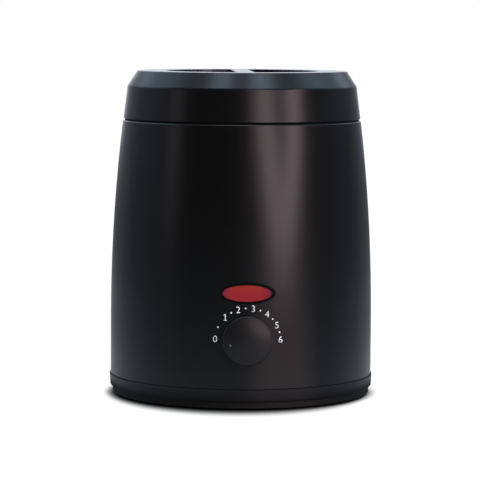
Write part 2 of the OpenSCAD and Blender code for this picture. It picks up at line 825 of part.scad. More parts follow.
// the thermostat's steel can and its threaded bush
module thermostat_can() {
    color(steel) on_front(knob_z) difference() {
        union() {
            translate([0, 0, can_back]) cylinder(d = can_d, h = can_h);
            translate([0, 0, bracket_back]) cylinder(d = bush_d, h = bush_end - bracket_back);
        }
        translate([0, 0, shaft_back - turn_gap]) cylinder(d = shaft_d + 2 * turn_gap, h = bush_end);
    }
}

// the ceramic base that carries the contacts
module thermostat_base() {
    color(ceramic) on_front(knob_z) difference() {
        translate([-ceramic_w / 2, -ceramic_z / 2, ceramic_back]) cube([ceramic_w, ceramic_z, ceramic_h]);
        for (x = [-1, 1] * ceramic_w / 2) translate([x, 0, ceramic_back - past])
            cylinder(d = ceramic_notch_d, h = ceramic_h + 2 * past);
    }
}

// three push-on tabs: live in, heater out and the lamp's own
module thermostat_tabs() {
    color(brass) on_front(knob_z) for (p = [[-tab_x, 0], [tab_x, 0], [tab_x, tab_rise]])
        translate([p[0] - tab_w / 2, p[1] - tab_t / 2, tab_end]) cube([tab_w, tab_t, tab_l]);
}

// the steel plate that hangs the thermostat on the shell's two pillars
module thermostat_bracket() {
    color(zinc) on_front(knob_z) difference() {
        union() {
            translate([-bracket_screw_x, -bracket_h / 2, bracket_back])
                cube([2 * bracket_screw_x, bracket_h, bracket_t]);
            for (x = [-1, 1] * bracket_screw_x) translate([x, 0, bracket_back])
                cylinder(d = pillar_d, h = bracket_t);
        }
        translate([0, 0, bracket_back - past]) cylinder(d = bush_d + 2 * wrap_gap, h = bracket_t + 2 * past);
        for (x = [-1, 1] * bracket_screw_x) translate([x, 0, bracket_back - past])
            cylinder(d = small_screw_d + 2 * screw_gap, h = bracket_t + 2 * past);
    }
}

// the thin nut that clamps the thermostat's bush to the bracket
module thermostat_nut() {
    color(brass) on_front(knob_z) translate([0, 0, pillar_end]) difference() {
        hexagon_rod(nut_flats, nut_t);
        translate([0, 0, -past]) cylinder(d = bush_d + 2 * bite_gap, h = nut_t + 2 * past);
    }
}

// screws through the bracket's ends into the shell's pillars
module bracket_screws() {
    color(steel) on_front(knob_z) for (x = [-1, 1] * bracket_screw_x)
        translate([x, 0, bracket_back]) rotate([180, 0, 0])
            screw(small_screw_d, small_head_d, small_head_h, small_screw_l);
}

// the copper capillary from the can's side up to the bulb under the well
module capillary_tube() {
    start = [-can_d / 2, -(can_back + can_h / 2), knob_z];
    finish = [-bulb_l / 2, bulb_y, probe_z];
    route = [start, start + [-3, 0, 0], start + [-9, 5, 4], start + [-15.5, 11, 17.5],
        finish + [-16, -12, -7], finish + [-9, -4, -1], finish + [-3, 0, 0], finish];
    color(copper) wire(route, capillary_d);
}

// the oil-filled bulb at the capillary's end
module sensing_bulb() {
    color(copper) translate([-bulb_l / 2, bulb_y, probe_z]) rotate([0, 90, 0])
        cylinder(d = probe_d, h = bulb_l);
}

// the one-shot thermal fuse and its two stiff wires
module thermal_fuse() {
    color(alloy) translate([0, fuse_y, probe_z]) rotate([0, 90, 0]) {
        cylinder(d = probe_d, h = fuse_l, center = true);
        cylinder(d = fuse_wire_d, h = fuse_l + 2 * fuse_wire_l, center = true);
    }
}

// two spring straps, welded to the well's floor, that hold the fuse and the bulb against it
module well_clips() {
    in_r = probe_d / 2 + wrap_gap;
    out_r = in_r + clip_strap_t;
    rise = well_low - probe_z;
    color(steel) for (y = [fuse_y, bulb_y]) translate([-clip_strap_w / 2, y, probe_z])
        rotate([90, 0, 90]) linear_extrude(clip_strap_w) union() {
            intersection() {
                difference() {
                    circle(r = out_r);
                    circle(r = in_r);
                }
                translate([-out_r, -out_r]) square([2 * out_r, out_r]);
            }
            for (side = [0, 1]) mirror([side, 0]) {
                translate([in_r, 0]) square([clip_strap_t, rise]);
                translate([in_r, rise - clip_strap_t]) square([clip_tab, clip_strap_t]);
            }
        }
}

// the red moulded lens, pushed through the shell from inside
module indicator_lens() {
    color(lens_red) on_front(lens_z) union() {
        translate([0, 0, pad_y - flange_t]) {
            linear_extrude(lens_front - pad_y + flange_t) oval(lens_w, lens_h);
            linear_extrude(flange_t) oval(lens_w + 2 * lens_lip, lens_h + 2 * lens_lip);
        }
    }
}

// the white carrier that clamps the lens's flange and holds the lamp behind it
module lamp_holder() {
    color(nylon) on_front(lens_z) difference() {
        union() {
            translate([-holder_w / 2, -holder_h / 2, holder_back]) cube([holder_w, holder_h, holder_d]);
            translate([-holder_w / 2 - holder_ear, -holder_ear / 2, pad_y - holder_ear_t])
                cube([holder_w + 2 * holder_ear, holder_ear, holder_ear_t]);
        }
        translate([0, 0, pad_y - flange_t]) linear_extrude(flange_t + past)
            oval(lens_w + 2 * lens_lip + 2 * wrap_gap, lens_h + 2 * lens_lip + 2 * wrap_gap);
        translate([0, 0, holder_back + holder_rear]) linear_extrude(pad_y) oval(lens_w, lens_h);
        translate([0, 0, holder_back - past])
            cylinder(d = lamp_d + 2 * wrap_gap, h = holder_rear + 2 * past);
        for (x = [-1, 1] * lamp_screw_x) translate([x, 0, pad_y - holder_ear_t - past])
            cylinder(d = lamp_screw_d + 2 * screw_gap, h = holder_ear_t + 2 * past);
    }
}

// the small lamp, pushed into the holder from behind
module neon_lamp() {
    color(lamp_glass) on_front(lens_z) union() {
        translate([0, 0, lamp_back]) cylinder(d = lamp_d, h = lamp_l - lamp_d / 2);
        translate([0, 0, lamp_tip - lamp_d / 2]) sphere(d = lamp_d);
    }
}

// screws through the holder's ears into the pad
module lamp_screws() {
    color(steel) on_front(lens_z) for (x = [-1, 1] * lamp_screw_x)
        translate([x, 0, pad_y - holder_ear_t]) rotate([180, 0, 0])
            screw(lamp_screw_d, lamp_head_d, lamp_head_h, lamp_screw_l);
}

// the four-pole block that the cord's cores and the inner leads are screwed into
module terminal_block() {
    color(nylon) difference() {
        translate([-block_w / 2, block_front, block_low]) cube([block_w, block_d, block_h]);
        for (i = [0:pole_count - 1]) translate([pole_x(i), 0, 0]) {
            // the cord's side of each pole
            translate([0, block_y + block_d / 2 + past, pole_z]) rotate([90, 0, 0])
                cylinder(d = pole_bore_d, h = block_d / 2);
            for (y = [-1, 1] * block_d / 4) translate([0, block_y + y, pole_screw_low])
                cylinder(d = pole_screw_d + 2 * wrap_gap, h = block_h);
        }
        for (x = [-1, 1] * block_screw_x) translate([x, block_y, 0]) {
            translate([0, 0, block_low - past])
                cylinder(d = block_screw_d + 2 * screw_gap, h = block_h + 2 * past);
            translate([0, 0, block_seat]) cylinder(d = small_head_d + 2 * head_gap, h = block_h);
        }
    }
}

// two slotted screws in each pole
module terminal_screws() {
    color(brass) for (i = [0:pole_count - 1], y = [-1, 1] * block_d / 4)
        translate([pole_x(i), block_y + y, pole_screw_low]) difference() {
            cylinder(d = pole_screw_d, h = pole_screw_h);
            translate([-pole_screw_d, -pole_slot_w / 2, pole_screw_h - pole_slot_h])
                cube([2 * pole_screw_d, pole_slot_w, pole_screw_h]);
        }
}

// screws through the block into the pan's bosses
module block_screws() {
    color(steel) for (x = [-1, 1] * block_screw_x) translate([x, block_y, block_seat])
        screw(block_screw_d, small_head_d, small_head_h, block_screw_l);
}

// the bushing that the mains cord comes in through, at the back
module cord_gland() {
    nose = body_r + gland_out;
    color(rubber_black) on_back(gland_z) difference() {
        union() {
            translate([0, 0, gland_end]) cylinder(d = gland_d, h = gland_seat - gland_end + past);
            translate([0, 0, gland_seat]) cylinder(d = gland_flange_d, h = gland_flange_t);
            translate([0, 0, gland_seat + gland_flange_t])
                cylinder(
                    d1 = gland_flange_d - 2 * gland_nose_in,
                    d2 = gland_bore_d + 2 * gland_nose_wall,
                    h = nose - gland_seat - gland_flange_t);
        }
        translate([0, 0, nose - gland_bore_l - past]) cylinder(d = gland_bore_d, h = gland_bore_l + 2 * past);
        translate([0, 0, gland_end - past])
            cylinder(d = gland_throat_d, h = nose - gland_bore_l - gland_end + past);
    }
}

// the nylon nut that pulls the gland's flange onto its seat
module gland_nut() {
    color(pan_black) on_back(gland_z) translate([0, 0, gland_pad - gland_nut_t]) difference() {
        hexagon_rod(gland_d + 2 * gland_nut_wall, gland_nut_t);
        translate([0, 0, -past]) cylinder(d = gland_d + 2 * bite_gap, h = gland_nut_t + 2 * past);
    }
}

// where the leads start and end
live_tab = [-tab_x, -tab_end, knob_z];
heat_tab = [tab_x, -tab_end, knob_z];
lamp_tab = [tab_x, -tab_end, knob_z + tab_rise];
function pole(i) = [pole_x(i), block_front, pole_z];
fuse_left = [-fuse_l / 2 - fuse_wire_l, fuse_y, probe_z];
fuse_right = [fuse_l / 2 + fuse_wire_l, fuse_y, probe_z];
tag_r = tag_in + tag_t / 2;
tag_left = [tag_r * cos(rear_a + tag_a), tag_r * sin(rear_a + tag_a), tag_low];
tag_right = [tag_r * cos(rear_a - tag_a), tag_r * sin(rear_a - tag_a), tag_low];
lamp_left = [-lamp_pin_x, -lamp_back, lens_z];
lamp_right = [lamp_pin_x, -lamp_back, lens_z];

module lead_live() {
    color(lead_red) wire([pole(0), pole(0) + [0, -3, 0], pole(0) + [-2, -15.5, 0.5],
        live_tab + [-8, 15, -8.5], live_tab + [0, 6, 0], live_tab + [0, 2, 0], live_tab], lead_d);
}

module lead_neutral() {
    color(lead_blue) wire([pole(3), pole(3) + [0, -3, 0], pole(3) + [7, -11.5, 6.5],
        pole(3) + [15, -3.5, 22.5], tag_right + [14, -13, -21], tag_right + [1, -2, -10],
        tag_right + [0, 0, -3], tag_right], lead_d);
}

module lead_switched() {
    color(lead_white) wire([heat_tab, heat_tab + [0, 3, 0], heat_tab + [6, 13, 3.5],
        heat_tab + [17, 23, 17.5], fuse_right + [15, -4, -8.5], fuse_right + [6, 0, -1],
        fuse_right + [2, 0, 0], fuse_right], lead_d);
}

module lead_fuse() {
    color(lead_white) wire([fuse_left, fuse_left + [-2, 0, 0], fuse_left + [-6, 3, -2],
        fuse_left + [-13, 14, -6.5], tag_left + [-3, -3, -8], tag_left + [0, 0, -3], tag_left], lead_d);
}

module lead_lamp_neutral() {
    color(lead_blue) wire([lamp_left, lamp_left + [0, 2, 0], lamp_left + [-3, 14, -1.5],
        lamp_left + [-5, 32, -9.5], pole(1) + [2, -11.5, 12.5], pole(1) + [2, -4, 0],
        pole(1) + [0, -2, 0], pole(1)], lamp_lead_d);
}

module lead_lamp_live() {
    color(lead_red) wire([lamp_right, lamp_right + [0, 2, 0], lamp_right + [3, 16, -1.5],
        lamp_tab + [2, 7, 8], lamp_tab + [0, 5, 0.5], lamp_tab + [0, 2, 0], lamp_tab], lamp_lead_d);
}

// the steel shaft, with a flat for the knob's clip
module thermostat_shaft() {
    flat_z = shaft_d / 2 - shaft_flat;
    color(zinc) on_front(knob_z) difference() {
        translate([0, 0, shaft_back]) cylinder(d = shaft_d, h = shaft_end - shaft_back);
        translate([-shaft_d, flat_z, hub_end]) cube([2 * shaft_d, shaft_d, shaft_end]);
    }
}

// the moulded knob: a crowned disc, hollow behind, with a hub that reaches through the shell
module knob() {
    face_r = knob_d / 2;
    back = body_r + knob_gap;
    turn_in = hub_d / 2;
    // the front edge is rounded into the crown, which is one shallow arc round crown_z
    crown_z = knob_face - crown_r;
    edge_run = face_r - knob_round;
    edge_z = crown_z + sqrt(pow(crown_r - knob_round, 2) - edge_run * edge_run);
    edge = arc([edge_run, edge_z], knob_round, 0, acos(edge_run / (crown_r - knob_round)), 10);
    color(case_black) on_front(knob_z) difference() {
        union() {
            rotate_extrude($fn = wide_fn) intersection() {
                polygon(concat([[0, back], [face_r, back]], edge,
                    [[edge[len(edge) - 1][0], knob_face + past], [0, knob_face + past]]));
                translate([0, crown_z]) circle(r = crown_r, $fn = bow_fn);
            }
            translate([0, 0, hub_end]) cylinder(r = turn_in, h = back - hub_end + past);
        }
        translate([0, 0, back - past]) difference() {
            cylinder(r = face_r - knob_shell, h = knob_hollow + past);
            translate([0, 0, -past]) cylinder(r = turn_in, h = knob_hollow + 4 * past);
        }
        translate([0, 0, hub_end - past])
            cylinder(d = shaft_d + 2 * turn_gap, h = shaft_end - hub_end + past + tip_room);
        // the pointer mark
        rotate([0, 0, mark_a]) translate([mark_r, 0, knob_face - knob_crown - mark_h])
            cylinder(d = mark_d, h = knob_t);
    }
}

// the leaf spring between the shaft's flat and the hub's bore
module knob_clip() {
    flat_z = shaft_d / 2 - shaft_flat + turn_gap;
    color(steel) on_front(knob_z) translate([-clip_w / 2, flat_z, hub_end + clip_in])
        cube([clip_w, clip_t, clip_l]);
}

// the places of the ears' rivets
module at_ear_rivets() {
    for (side = [0, 1], y = [-1, 1] * rivet_y) mirror([side, 0, 0]) translate([rivet_x, y, 0]) children();
}

// the spun aluminium wax pot, with a beaded lip
module pot() {
    color(alloy) difference() {
        rotate_extrude($fn = wide_fn) union() {
            polygon(concat(
                [[0, pot_low]],
                arc([pot_r - pot_round, pot_low + pot_round], pot_round, -90, 0),
                [[pot_r, lip_top - pot_wall],
                 [lip_r, lip_top - pot_wall],
                 [lip_r, lip_top],
                 [pot_r - pot_wall, lip_top]],
                arc([pot_r - pot_round, pot_low + pot_round], pot_round - pot_wall, 0, -90),
                [[0, pot_low + pot_wall]]));
            translate([lip_r, lip_top - bead_d / 2]) circle(d = bead_d, $fn = 48);
        }
        at_ear_rivets() translate([0, 0, lip_top - pot_wall - past])
            cylinder(d = rivet_d + 2 * turn_gap, h = pot_wall + 2 * past);
    }
}

// two pressed ears, riveted on the lip, that the bail hooks into
module bail_ears() {
    color(steel) for (side = [0, 1]) mirror([side, 0, 0]) difference() {
        union() {
            translate([ear_out - ear_foot, -ear_w / 2, lip_top]) cube([ear_foot, ear_w, ear_t]);
            translate([ear_out - ear_t, -ear_w / 2, lip_top]) cube([ear_t, ear_w, pivot_z - lip_top]);
            translate([ear_out - ear_t, 0, pivot_z]) rotate([0, 90, 0]) cylinder(r = ear_top_r, h = ear_t);
        }
        translate([ear_out - ear_t - past, 0, pivot_z]) rotate([0, 90, 0])
            cylinder(d = wire_d + 2 * turn_gap, h = ear_t + 2 * past);
        for (y = [-1, 1] * rivet_y) translate([rivet_x, y, lip_top - past])
            cylinder(d = rivet_d + 2 * turn_gap, h = ear_t + 2 * past);
    }
}

// rivets through the ears' feet and the lip, with a head on both sides
module ear_rivets() {
    low = lip_top - pot_wall;
    high = lip_top + ear_t;
    color(alloy) at_ear_rivets() {
        translate([0, 0, low]) cylinder(d = rivet_d, h = high - low);
        for (z = [low - rivet_head_h, high]) translate([0, 0, z])
            cylinder(d = rivet_head_d, h = rivet_head_h);
    }
}

// the steel wire handle, folded back on the pot's lip, with its ends hooked into the ears
module bail() {
    hook_in = ear_out - ear_t - past;
    color(steel) translate([0, 0, pivot_z]) {
        rotate_extrude(angle = 180, $fn = wide_fn) translate([bail_r, 0]) circle(d = wire_d, $fn = 48);
        for (side = [0, 1]) mirror([side, 0, 0]) {
            translate([hook_in, 0, 0]) rotate([0, 90, 0])
                cylinder(d = wire_d, h = bail_r - hook_in, $fn = 48);
            translate([bail_r, 0, 0]) sphere(d = wire_d, $fn = 48);
        }
    }
}

// the lid's outside in outline; a rounding's middle lies inside its corner, along the bisector
side_a = atan(lid_taper);
slope_a = atan(shoulder_in / shoulder_h);
module lid_outline() {
    turn = slope_a - side_a;
    back = shoulder_round / cos(turn / 2);
    mid_a = (side_a + slope_a) / 2;
    turn_top = 90 - slope_a;
    back_top = rim_round / cos(turn_top / 2);
    mid_top = (90 + slope_a) / 2;
    side_mid = [lid_side_r - back * cos(mid_a), shoulder_z - back * sin(mid_a)];
    top_mid = [lid_top_r - back_top * cos(mid_top), lid_top - back_top * sin(mid_top)];
    bevel_r = lid_low_r - seam_bevel;
    polygon(concat(
        [[0, lid_low], [bevel_r, lid_low], [lid_low_r - lid_taper * seam_bevel, lid_low + seam_bevel]],
        arc(side_mid, shoulder_round, side_a, slope_a, 8),
        arc(top_mid, rim_round, slope_a, 90, 6),
        [[0, lid_top]]));
}

// the lid's inside in outline, one wall in from its outside
module lid_hollow() {
    ceiling = lid_top - lid_wall;
    draw = lid_wall * tan(slope_a / 2);
    polygon([
        [0, lid_low - past],
        [lid_low_r - lid_wall + lid_taper * past, lid_low - past],
        [lid_side_r - lid_wall + lid_taper * draw, shoulder_z - draw],
        [lid_top_r - lid_wall + draw / 2, ceiling],
        [0, ceiling]
    ]);
}

// the one-piece cap: its top is sunk round a grip bar that stays level with the rim
module lid() {
    rim_r = recess_d / 2;
    floor_r = rim_r - recess_draft;
    floor_z = lid_top - recess_h;
    tub_low = floor_z - lid_wall;
    fillet_y = sqrt(rim_r * rim_r - bar_w * bar_w / 4) - bar_round;
    slot_w = bar_w - 2 * lid_wall;
    color(case_black) difference() {
        union() {
            rotate_extrude($fn = wide_fn) difference() {
                lid_outline();
                lid_hollow();
            }
            rotate_extrude($fn = wide_fn) polygon([
                [0, tub_low],
                [floor_r + lid_wall, tub_low],
                [rim_r + lid_wall, lid_top - lid_wall / 2],
                [0, lid_top - lid_wall / 2]
            ]);
        }
        difference() {
            rotate_extrude($fn = wide_fn) polygon([
                [0, floor_z],
                [floor_r, floor_z],
                [rim_r, lid_top],
                [rim_r, lid_top + past],
                [0, lid_top + past]
            ]);
            // what is left standing is the bar, rounded into the wall at both ends
            translate([0, 0, floor_z - past]) linear_extrude(recess_h + past) union() {
                square([bar_w, 2 * rim_r + 2 * past], center = true);
                for (sx = [0, 1], sy = [0, 1]) mirror([sx, 0]) mirror([0, sy])
                    translate([bar_w / 2 - weld, fillet_y]) difference() {
                        square([bar_round + weld, 2 * bar_round + past]);
                        translate([bar_round + weld, 0]) circle(r = bar_round);
                    }
            }
        }
        translate([-slot_w / 2, -floor_r + lid_wall, tub_low - past])
            cube([slot_w, 2 * (floor_r - lid_wall), recess_h + past]);
    }
}

body_shell();
base_pan();
feet();
base_screws();
top_collar();
collar_screws();
heating_well();
heater_band();
heater_tags();
band_clamp();
clamp_screw();
insulation_sleeve();
thermostat_can();
thermostat_base();
thermostat_tabs();
thermostat_bracket();
thermostat_nut();
bracket_screws();
capillary_tube();
sensing_bulb();
thermal_fuse();
well_clips();
indicator_lens();
lamp_holder();
neon_lamp();
lamp_screws();
terminal_block();
terminal_screws();
block_screws();
cord_gland();
gland_nut();
lead_live();
lead_neutral();
lead_switched();
lead_fuse();
lead_lamp_neutral();
lead_lamp_live();
thermostat_shaft();
knob();
knob_clip();
pot();
bail_ears();
ear_rivets();
bail();
lid();
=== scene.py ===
"""A tabletop wax warmer, dressed piece by piece in the order in which it is put together."""
import math

import bmesh
import bpy
from mathutils import Matrix, Vector
from mathutils.bvhtree import BVHTree


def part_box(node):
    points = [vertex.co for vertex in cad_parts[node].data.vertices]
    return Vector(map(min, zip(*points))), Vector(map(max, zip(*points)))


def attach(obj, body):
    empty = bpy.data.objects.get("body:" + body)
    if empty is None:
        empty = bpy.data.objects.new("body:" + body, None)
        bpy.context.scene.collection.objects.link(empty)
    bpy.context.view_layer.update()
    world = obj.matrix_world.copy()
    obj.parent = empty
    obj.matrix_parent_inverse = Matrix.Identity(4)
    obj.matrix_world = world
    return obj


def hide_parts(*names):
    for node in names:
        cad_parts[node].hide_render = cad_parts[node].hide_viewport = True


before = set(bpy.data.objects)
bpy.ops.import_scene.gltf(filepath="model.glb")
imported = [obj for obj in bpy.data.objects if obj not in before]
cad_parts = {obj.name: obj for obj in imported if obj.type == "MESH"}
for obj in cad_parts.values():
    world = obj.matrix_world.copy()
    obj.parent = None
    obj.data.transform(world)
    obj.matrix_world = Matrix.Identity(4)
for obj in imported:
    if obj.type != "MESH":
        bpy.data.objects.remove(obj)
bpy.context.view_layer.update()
scene = bpy.context.scene
scene.view_settings.view_transform = "Standard"
MM = 0.001

# Camera
# A long lens, a little above the lid and a little to the left of the knob. Its place follows
# from how wide and how round the lid's rim, the seam and the base flange look.
camera_reach = 1.1814
camera_height = 0.176
camera_azimuth = math.radians(-2.65)
camera_tilt = math.radians(5.007)
camera_roll = math.radians(0.307)
camera_turn = math.radians(0.030)
lens_pixels = 2491.4
frame_pixels = 480

camera = bpy.data.objects.new("camera", bpy.data.cameras.new("camera"))
camera.data.sensor_width = 36
camera.data.lens = lens_pixels / frame_pixels * camera.data.sensor_width
camera.location = (
    math.sin(camera_azimuth) * camera_reach,
    -math.cos(camera_azimuth) * camera_reach,
    camera_height,
)
aim = (
    Matrix.Rotation(camera_azimuth + camera_turn, 4, "Z")
    @ Matrix.Rotation(math.radians(90) - camera_tilt, 4, "X")
    @ Matrix.Rotation(camera_roll, 4, "Z")
)
camera.rotation_euler = aim.to_euler()
scene.collection.objects.link(camera)
scene.camera = camera


# Table
# A white table top that runs on behind the object without an edge. The camera sees it as pure
# white, apart from a painted shadow: an oval of shade under the body, a little forward, and a
# painted contact shadow that occlusion darkens round its foot. Reflections see a dimmer sheet,
# which is darker still further out, with painted shade close to the plinth and a painted glow
# under the skirt.
table_reach = 6.0
# the painted shadow: an oval of shade drawn on the table, with its middle, the half sizes of its
# core and rim, and how far it spreads
shadow_middle = (-2.6 * MM, -3.0 * MM, 0)
shadow_core = (53 * MM, 52.5 * MM)
shadow_rim = (64.5 * MM, 81 * MM)
shadow_spread = 0.9
# the painted contact shadow: the table's glow dims where occlusion finds the foot close by
contact_reach = 7 * MM
contact_samples = 16
contact_shut = 0.25
contact_open = 0.85
table_white = 0.02
# the dimmer sheet: its paper and its sheen, and the distances from the axis between which they go
# from their near to their far level
paper_near = 0.175
paper_far = 0.045
paper_fades = (0.095, 0.3)
sheen_near = 0.36
sheen_far = 0.126
sheen_fades = (0.35, 1.1)
sheen_roughness = 0.4
# painted shade in reflections: the table goes dark between these distances from the axis, close to
# the plinth
shade_fades = (0.075, 0.088)
# painted light: a glow on the table under the skirt's edge, seen only in reflections, in place of
# the light that creeps in there
painted_skirt_glow = 0.08
painted_skirt_glow_ends = (0.066, 0.068)


def fill_inputs(tree, node, inputs):
    """Gives a node's inputs their values, or links them to the outputs given."""
    for name, value in (inputs or {}).items():
        if isinstance(value, bpy.types.NodeSocket):
            tree.links.new(value, node.inputs[name])
        else:
            node.inputs[name].default_value = value
    return node


def add(tree, kind, inputs=None, **settings):
    """A shader node with its settings and its inputs."""
    made = tree.nodes.new("ShaderNode" + kind)
    for name, value in settings.items():
        setattr(made, name, value)
    return fill_inputs(tree, made, inputs)


def math_of(tree, operation, *values):
    """The result of one sum, product or other operation on numbers."""
    return add(tree, "Math", dict(enumerate(values)), operation=operation).outputs[0]


def fade(tree, value, start, stop, low=0.0, high=1.0):
    """Goes softly from low, where value is start, to high, where value is stop."""
    inputs = {"Value": value, "From Min": start, "From Max": stop, "To Min": low, "To Max": high}
    return add(tree, "MapRange", inputs, interpolation_type="SMOOTHSTEP").outputs[0]


def grey(level, alpha=1.0):
    return (level, level, level, alpha)


def vector_of(tree, operation, *vectors):
    """The result of one operation on vectors that gives a vector."""
    return add(tree, "VectorMath", dict(enumerate(vectors)), operation=operation).outputs[0]


def length_of(tree, vector):
    return add(tree, "VectorMath", {0: vector}, operation="LENGTH").outputs["Value"]


def oval_reach(tree, place, half_sizes):
    """How far out a point is, as a share of the oval of these half sizes in X and Y."""
    stretch = (1 / half_sizes[0], 1 / half_sizes[1], 0)
    return length_of(tree, vector_of(tree, "MULTIPLY", place, stretch))


def add_light(tree, first, second):
    """The sum of two shader nodes."""
    return add(tree, "AddShader", {0: first.outputs[0], 1: second.outputs[0]})


def object_place(tree):
    return add(tree, "TexCoord").outputs["Object"]


bpy.ops.mesh.primitive_grid_add(x_subdivisions=2, y_subdivisions=2, size=2 * table_reach)
table = bpy.context.object
table.name = "table"
table_finish = bpy.data.materials.new("table_white")
table_finish.use_nodes = True
tree = table_finish.node_tree
tree.nodes.clear()
light_path = add(tree, "LightPath")
place = object_place(tree)
from_middle = vector_of(tree, "SUBTRACT", place, shadow_middle)
core = oval_reach(tree, from_middle, shadow_core)
rim = oval_reach(tree, from_middle, shadow_rim)
# 0 at the shadow's core and 1 at its rim
outward = math_of(
    tree, "DIVIDE", math_of(tree, "SUBTRACT", core, 1.0), math_of(tree, "SUBTRACT", core, rim)
)
outward = math_of(tree, "MAXIMUM", outward, 0.0)
# painted shadow: the oval mask takes away the table's glow, and no lamp casts it
painted_soft_shadow = fade(tree, math_of(tree, "MULTIPLY", outward, outward), 0.0, shadow_spread)
# painted contact shadow, from ambient occlusion
nearness = add(
    tree,
    "AmbientOcclusion",
    {"Distance": contact_reach},
    samples=contact_samples,
    only_local=False,
)
contact = fade(tree, nearness.outputs["AO"], contact_shut, contact_open)
painted_light_level = math_of(tree, "MULTIPLY", painted_soft_shadow, contact)
seen = add_light(
    tree,
    add(tree, "BsdfDiffuse", {"Color": grey(table_white)}),
    add(tree, "Emission", {"Color": grey(1.0), "Strength": painted_light_level}),
)
from_axis = length_of(tree, place)
# painted shade: reflections see the table dark in the painted shadow and close to the plinth
outside_painted_shade = math_of(tree, "MULTIPLY", painted_light_level, fade(tree, from_axis, *shade_fades))
paper = fade(tree, from_axis, *paper_fades, paper_near, paper_far)
paper = math_of(tree, "MULTIPLY", paper, outside_painted_shade)
sheen = fade(tree, from_axis, *sheen_fades, sheen_near, sheen_far)
sheen = math_of(tree, "MULTIPLY", sheen, outside_painted_shade)
# painted light under the skirt, seen in reflections only
glow = fade(tree, from_axis, *painted_skirt_glow_ends, painted_skirt_glow, 0.0)
unseen = add_light(
    tree,
    add(tree, "BsdfDiffuse", {"Color": paper}),
    add(tree, "BsdfGlossy", {"Color": sheen, "Roughness": sheen_roughness}),
)
unseen = add_light(tree, unseen, add(tree, "Emission", {"Color": grey(1.0), "Strength": glow}))
surface = add(
    tree,
    "MixShader",
    {0: light_path.outputs["Is Camera Ray"], 1: unseen.outputs[0], 2: seen.outputs[0]},
)
add(tree, "OutputMaterial", {"Surface": surface.outputs[0]})
table.data.materials.append(table_finish)


# Light
# A dim studio with a pale wall behind the object, two warm soft boxes at the front right and
# cool panels overhead and at the sides, all in the world. Two lamps fill the matt surfaces, and
# are kept out of reflections, as a crossed filter would.
front_colour = (0.042, 0.037, 0.034)
room_sides = [
    # degrees off the front where it begins and where it is full, and the colour that it adds
    (45, 85, (0.062, 0.066, 0.083)),
    (110, 155, (0.112, 0.138, 0.178)),
    (150, 178, (1.1, 1.12, 1.2)),
]
ceiling_slope = (0.5, 0.8)
ceiling_colour = (0.29, 0.38, 0.44)
soft_boxes = [
    # middle and half width round the object, middle and half height above the table and width of
    # the edge, all in degrees, then how far it leans to the side for each degree up, and colour
    (24.3, 7.5, 10, 11, 5, -1.05, (4.1, 3.18, 3.38)),
    (51.9, 7, 11, 11, 4, 1.1, (4.5, 3.38, 3.68)),
    (-67, 7, 9, 6, 5, 0, (0.5, 0.42, 0.44)),
    (-115, 45, 10, 40, 30, 0, (0.06, 0.065, 0.07)),
    (32, 16, 63, 10, 8, 0, (2.2, 2.9, 3.6)),
    (-34, 16, 63, 10, 8, 0, (1.8, 2.4, 3.0)),
    (102, 19, 42, 14, 10, 0, (0.64, 0.95, 1.25)),
    (121, 24, 20, 8, 8, 0, (0.36, 0.55, 0.74)),
    (-112, 24, 35, 21, 10, 0, (0.41, 0.65, 0.88)),
    (140, 12, 30, 12, 8, 0, (0.5, 0.6, 0.7)),
    (-140, 12, 30, 12, 8, 0, (0.4, 0.5, 0.6)),
    (0, 180, 90, 14, 6, 0, (1.4, 1.4, 1.4)),
]
fills = [
    # degrees round the object and above the table, and strength
    (32, 35, 3.3),
    (-150, 40, 1.2),
]
fill_softness = math.radians(60)


def new_group(name, **inputs):
    """An empty shader node group with its named inputs and their values, and what they give."""
    group = bpy.data.node_groups.new(name, "ShaderNodeTree")
    for socket, value in inputs.items():
        made = group.interface.new_socket(socket, in_out="INPUT", socket_type="NodeSocketFloat")
        made.default_value = value
    return group, group.nodes.new("NodeGroupInput").outputs


def finish_group(group, **results):
    """Gives a group its outputs."""
    for socket in results:
        group.interface.new_socket(socket, in_out="OUTPUT", socket_type="NodeSocketFloat")
    fill_inputs(group, group.nodes.new("NodeGroupOutput"), results)


def place_group(tree, group, **inputs):
    """The outputs of a node that holds a group, with its own inputs."""
    return fill_inputs(tree, add(tree, "Group", node_tree=group), inputs).outputs


soft_box, given = new_group(
    "soft_box", Around=0, Above=0, Middle=0, Half_Width=0.1, Height=0, Half_Height=0.1, Edge=0.1,
    Lean=0,
)
upward = math_of(soft_box, "SUBTRACT", given["Above"], given["Height"])
leaning = math_of(soft_box, "MULTIPLY_ADD", upward, given["Lean"], given["Middle"])
sideways = math_of(soft_box, "SUBTRACT", given["Around"], leaning)
sideways = math_of(soft_box, "ABSOLUTE", math_of(soft_box, "WRAP", sideways, math.pi, -math.pi))
upward = math_of(soft_box, "ABSOLUTE", upward)
masks = []
for distance, half in ((sideways, given["Half_Width"]), (upward, given["Half_Height"])):
    outside = math_of(soft_box, "ADD", half, given["Edge"])
    inside = math_of(soft_box, "SUBTRACT", half, given["Edge"])
    masks.append(fade(soft_box, distance, inside, outside, 1.0, 0.0))
finish_group(soft_box, Mask=math_of(soft_box, "MULTIPLY", *masks))

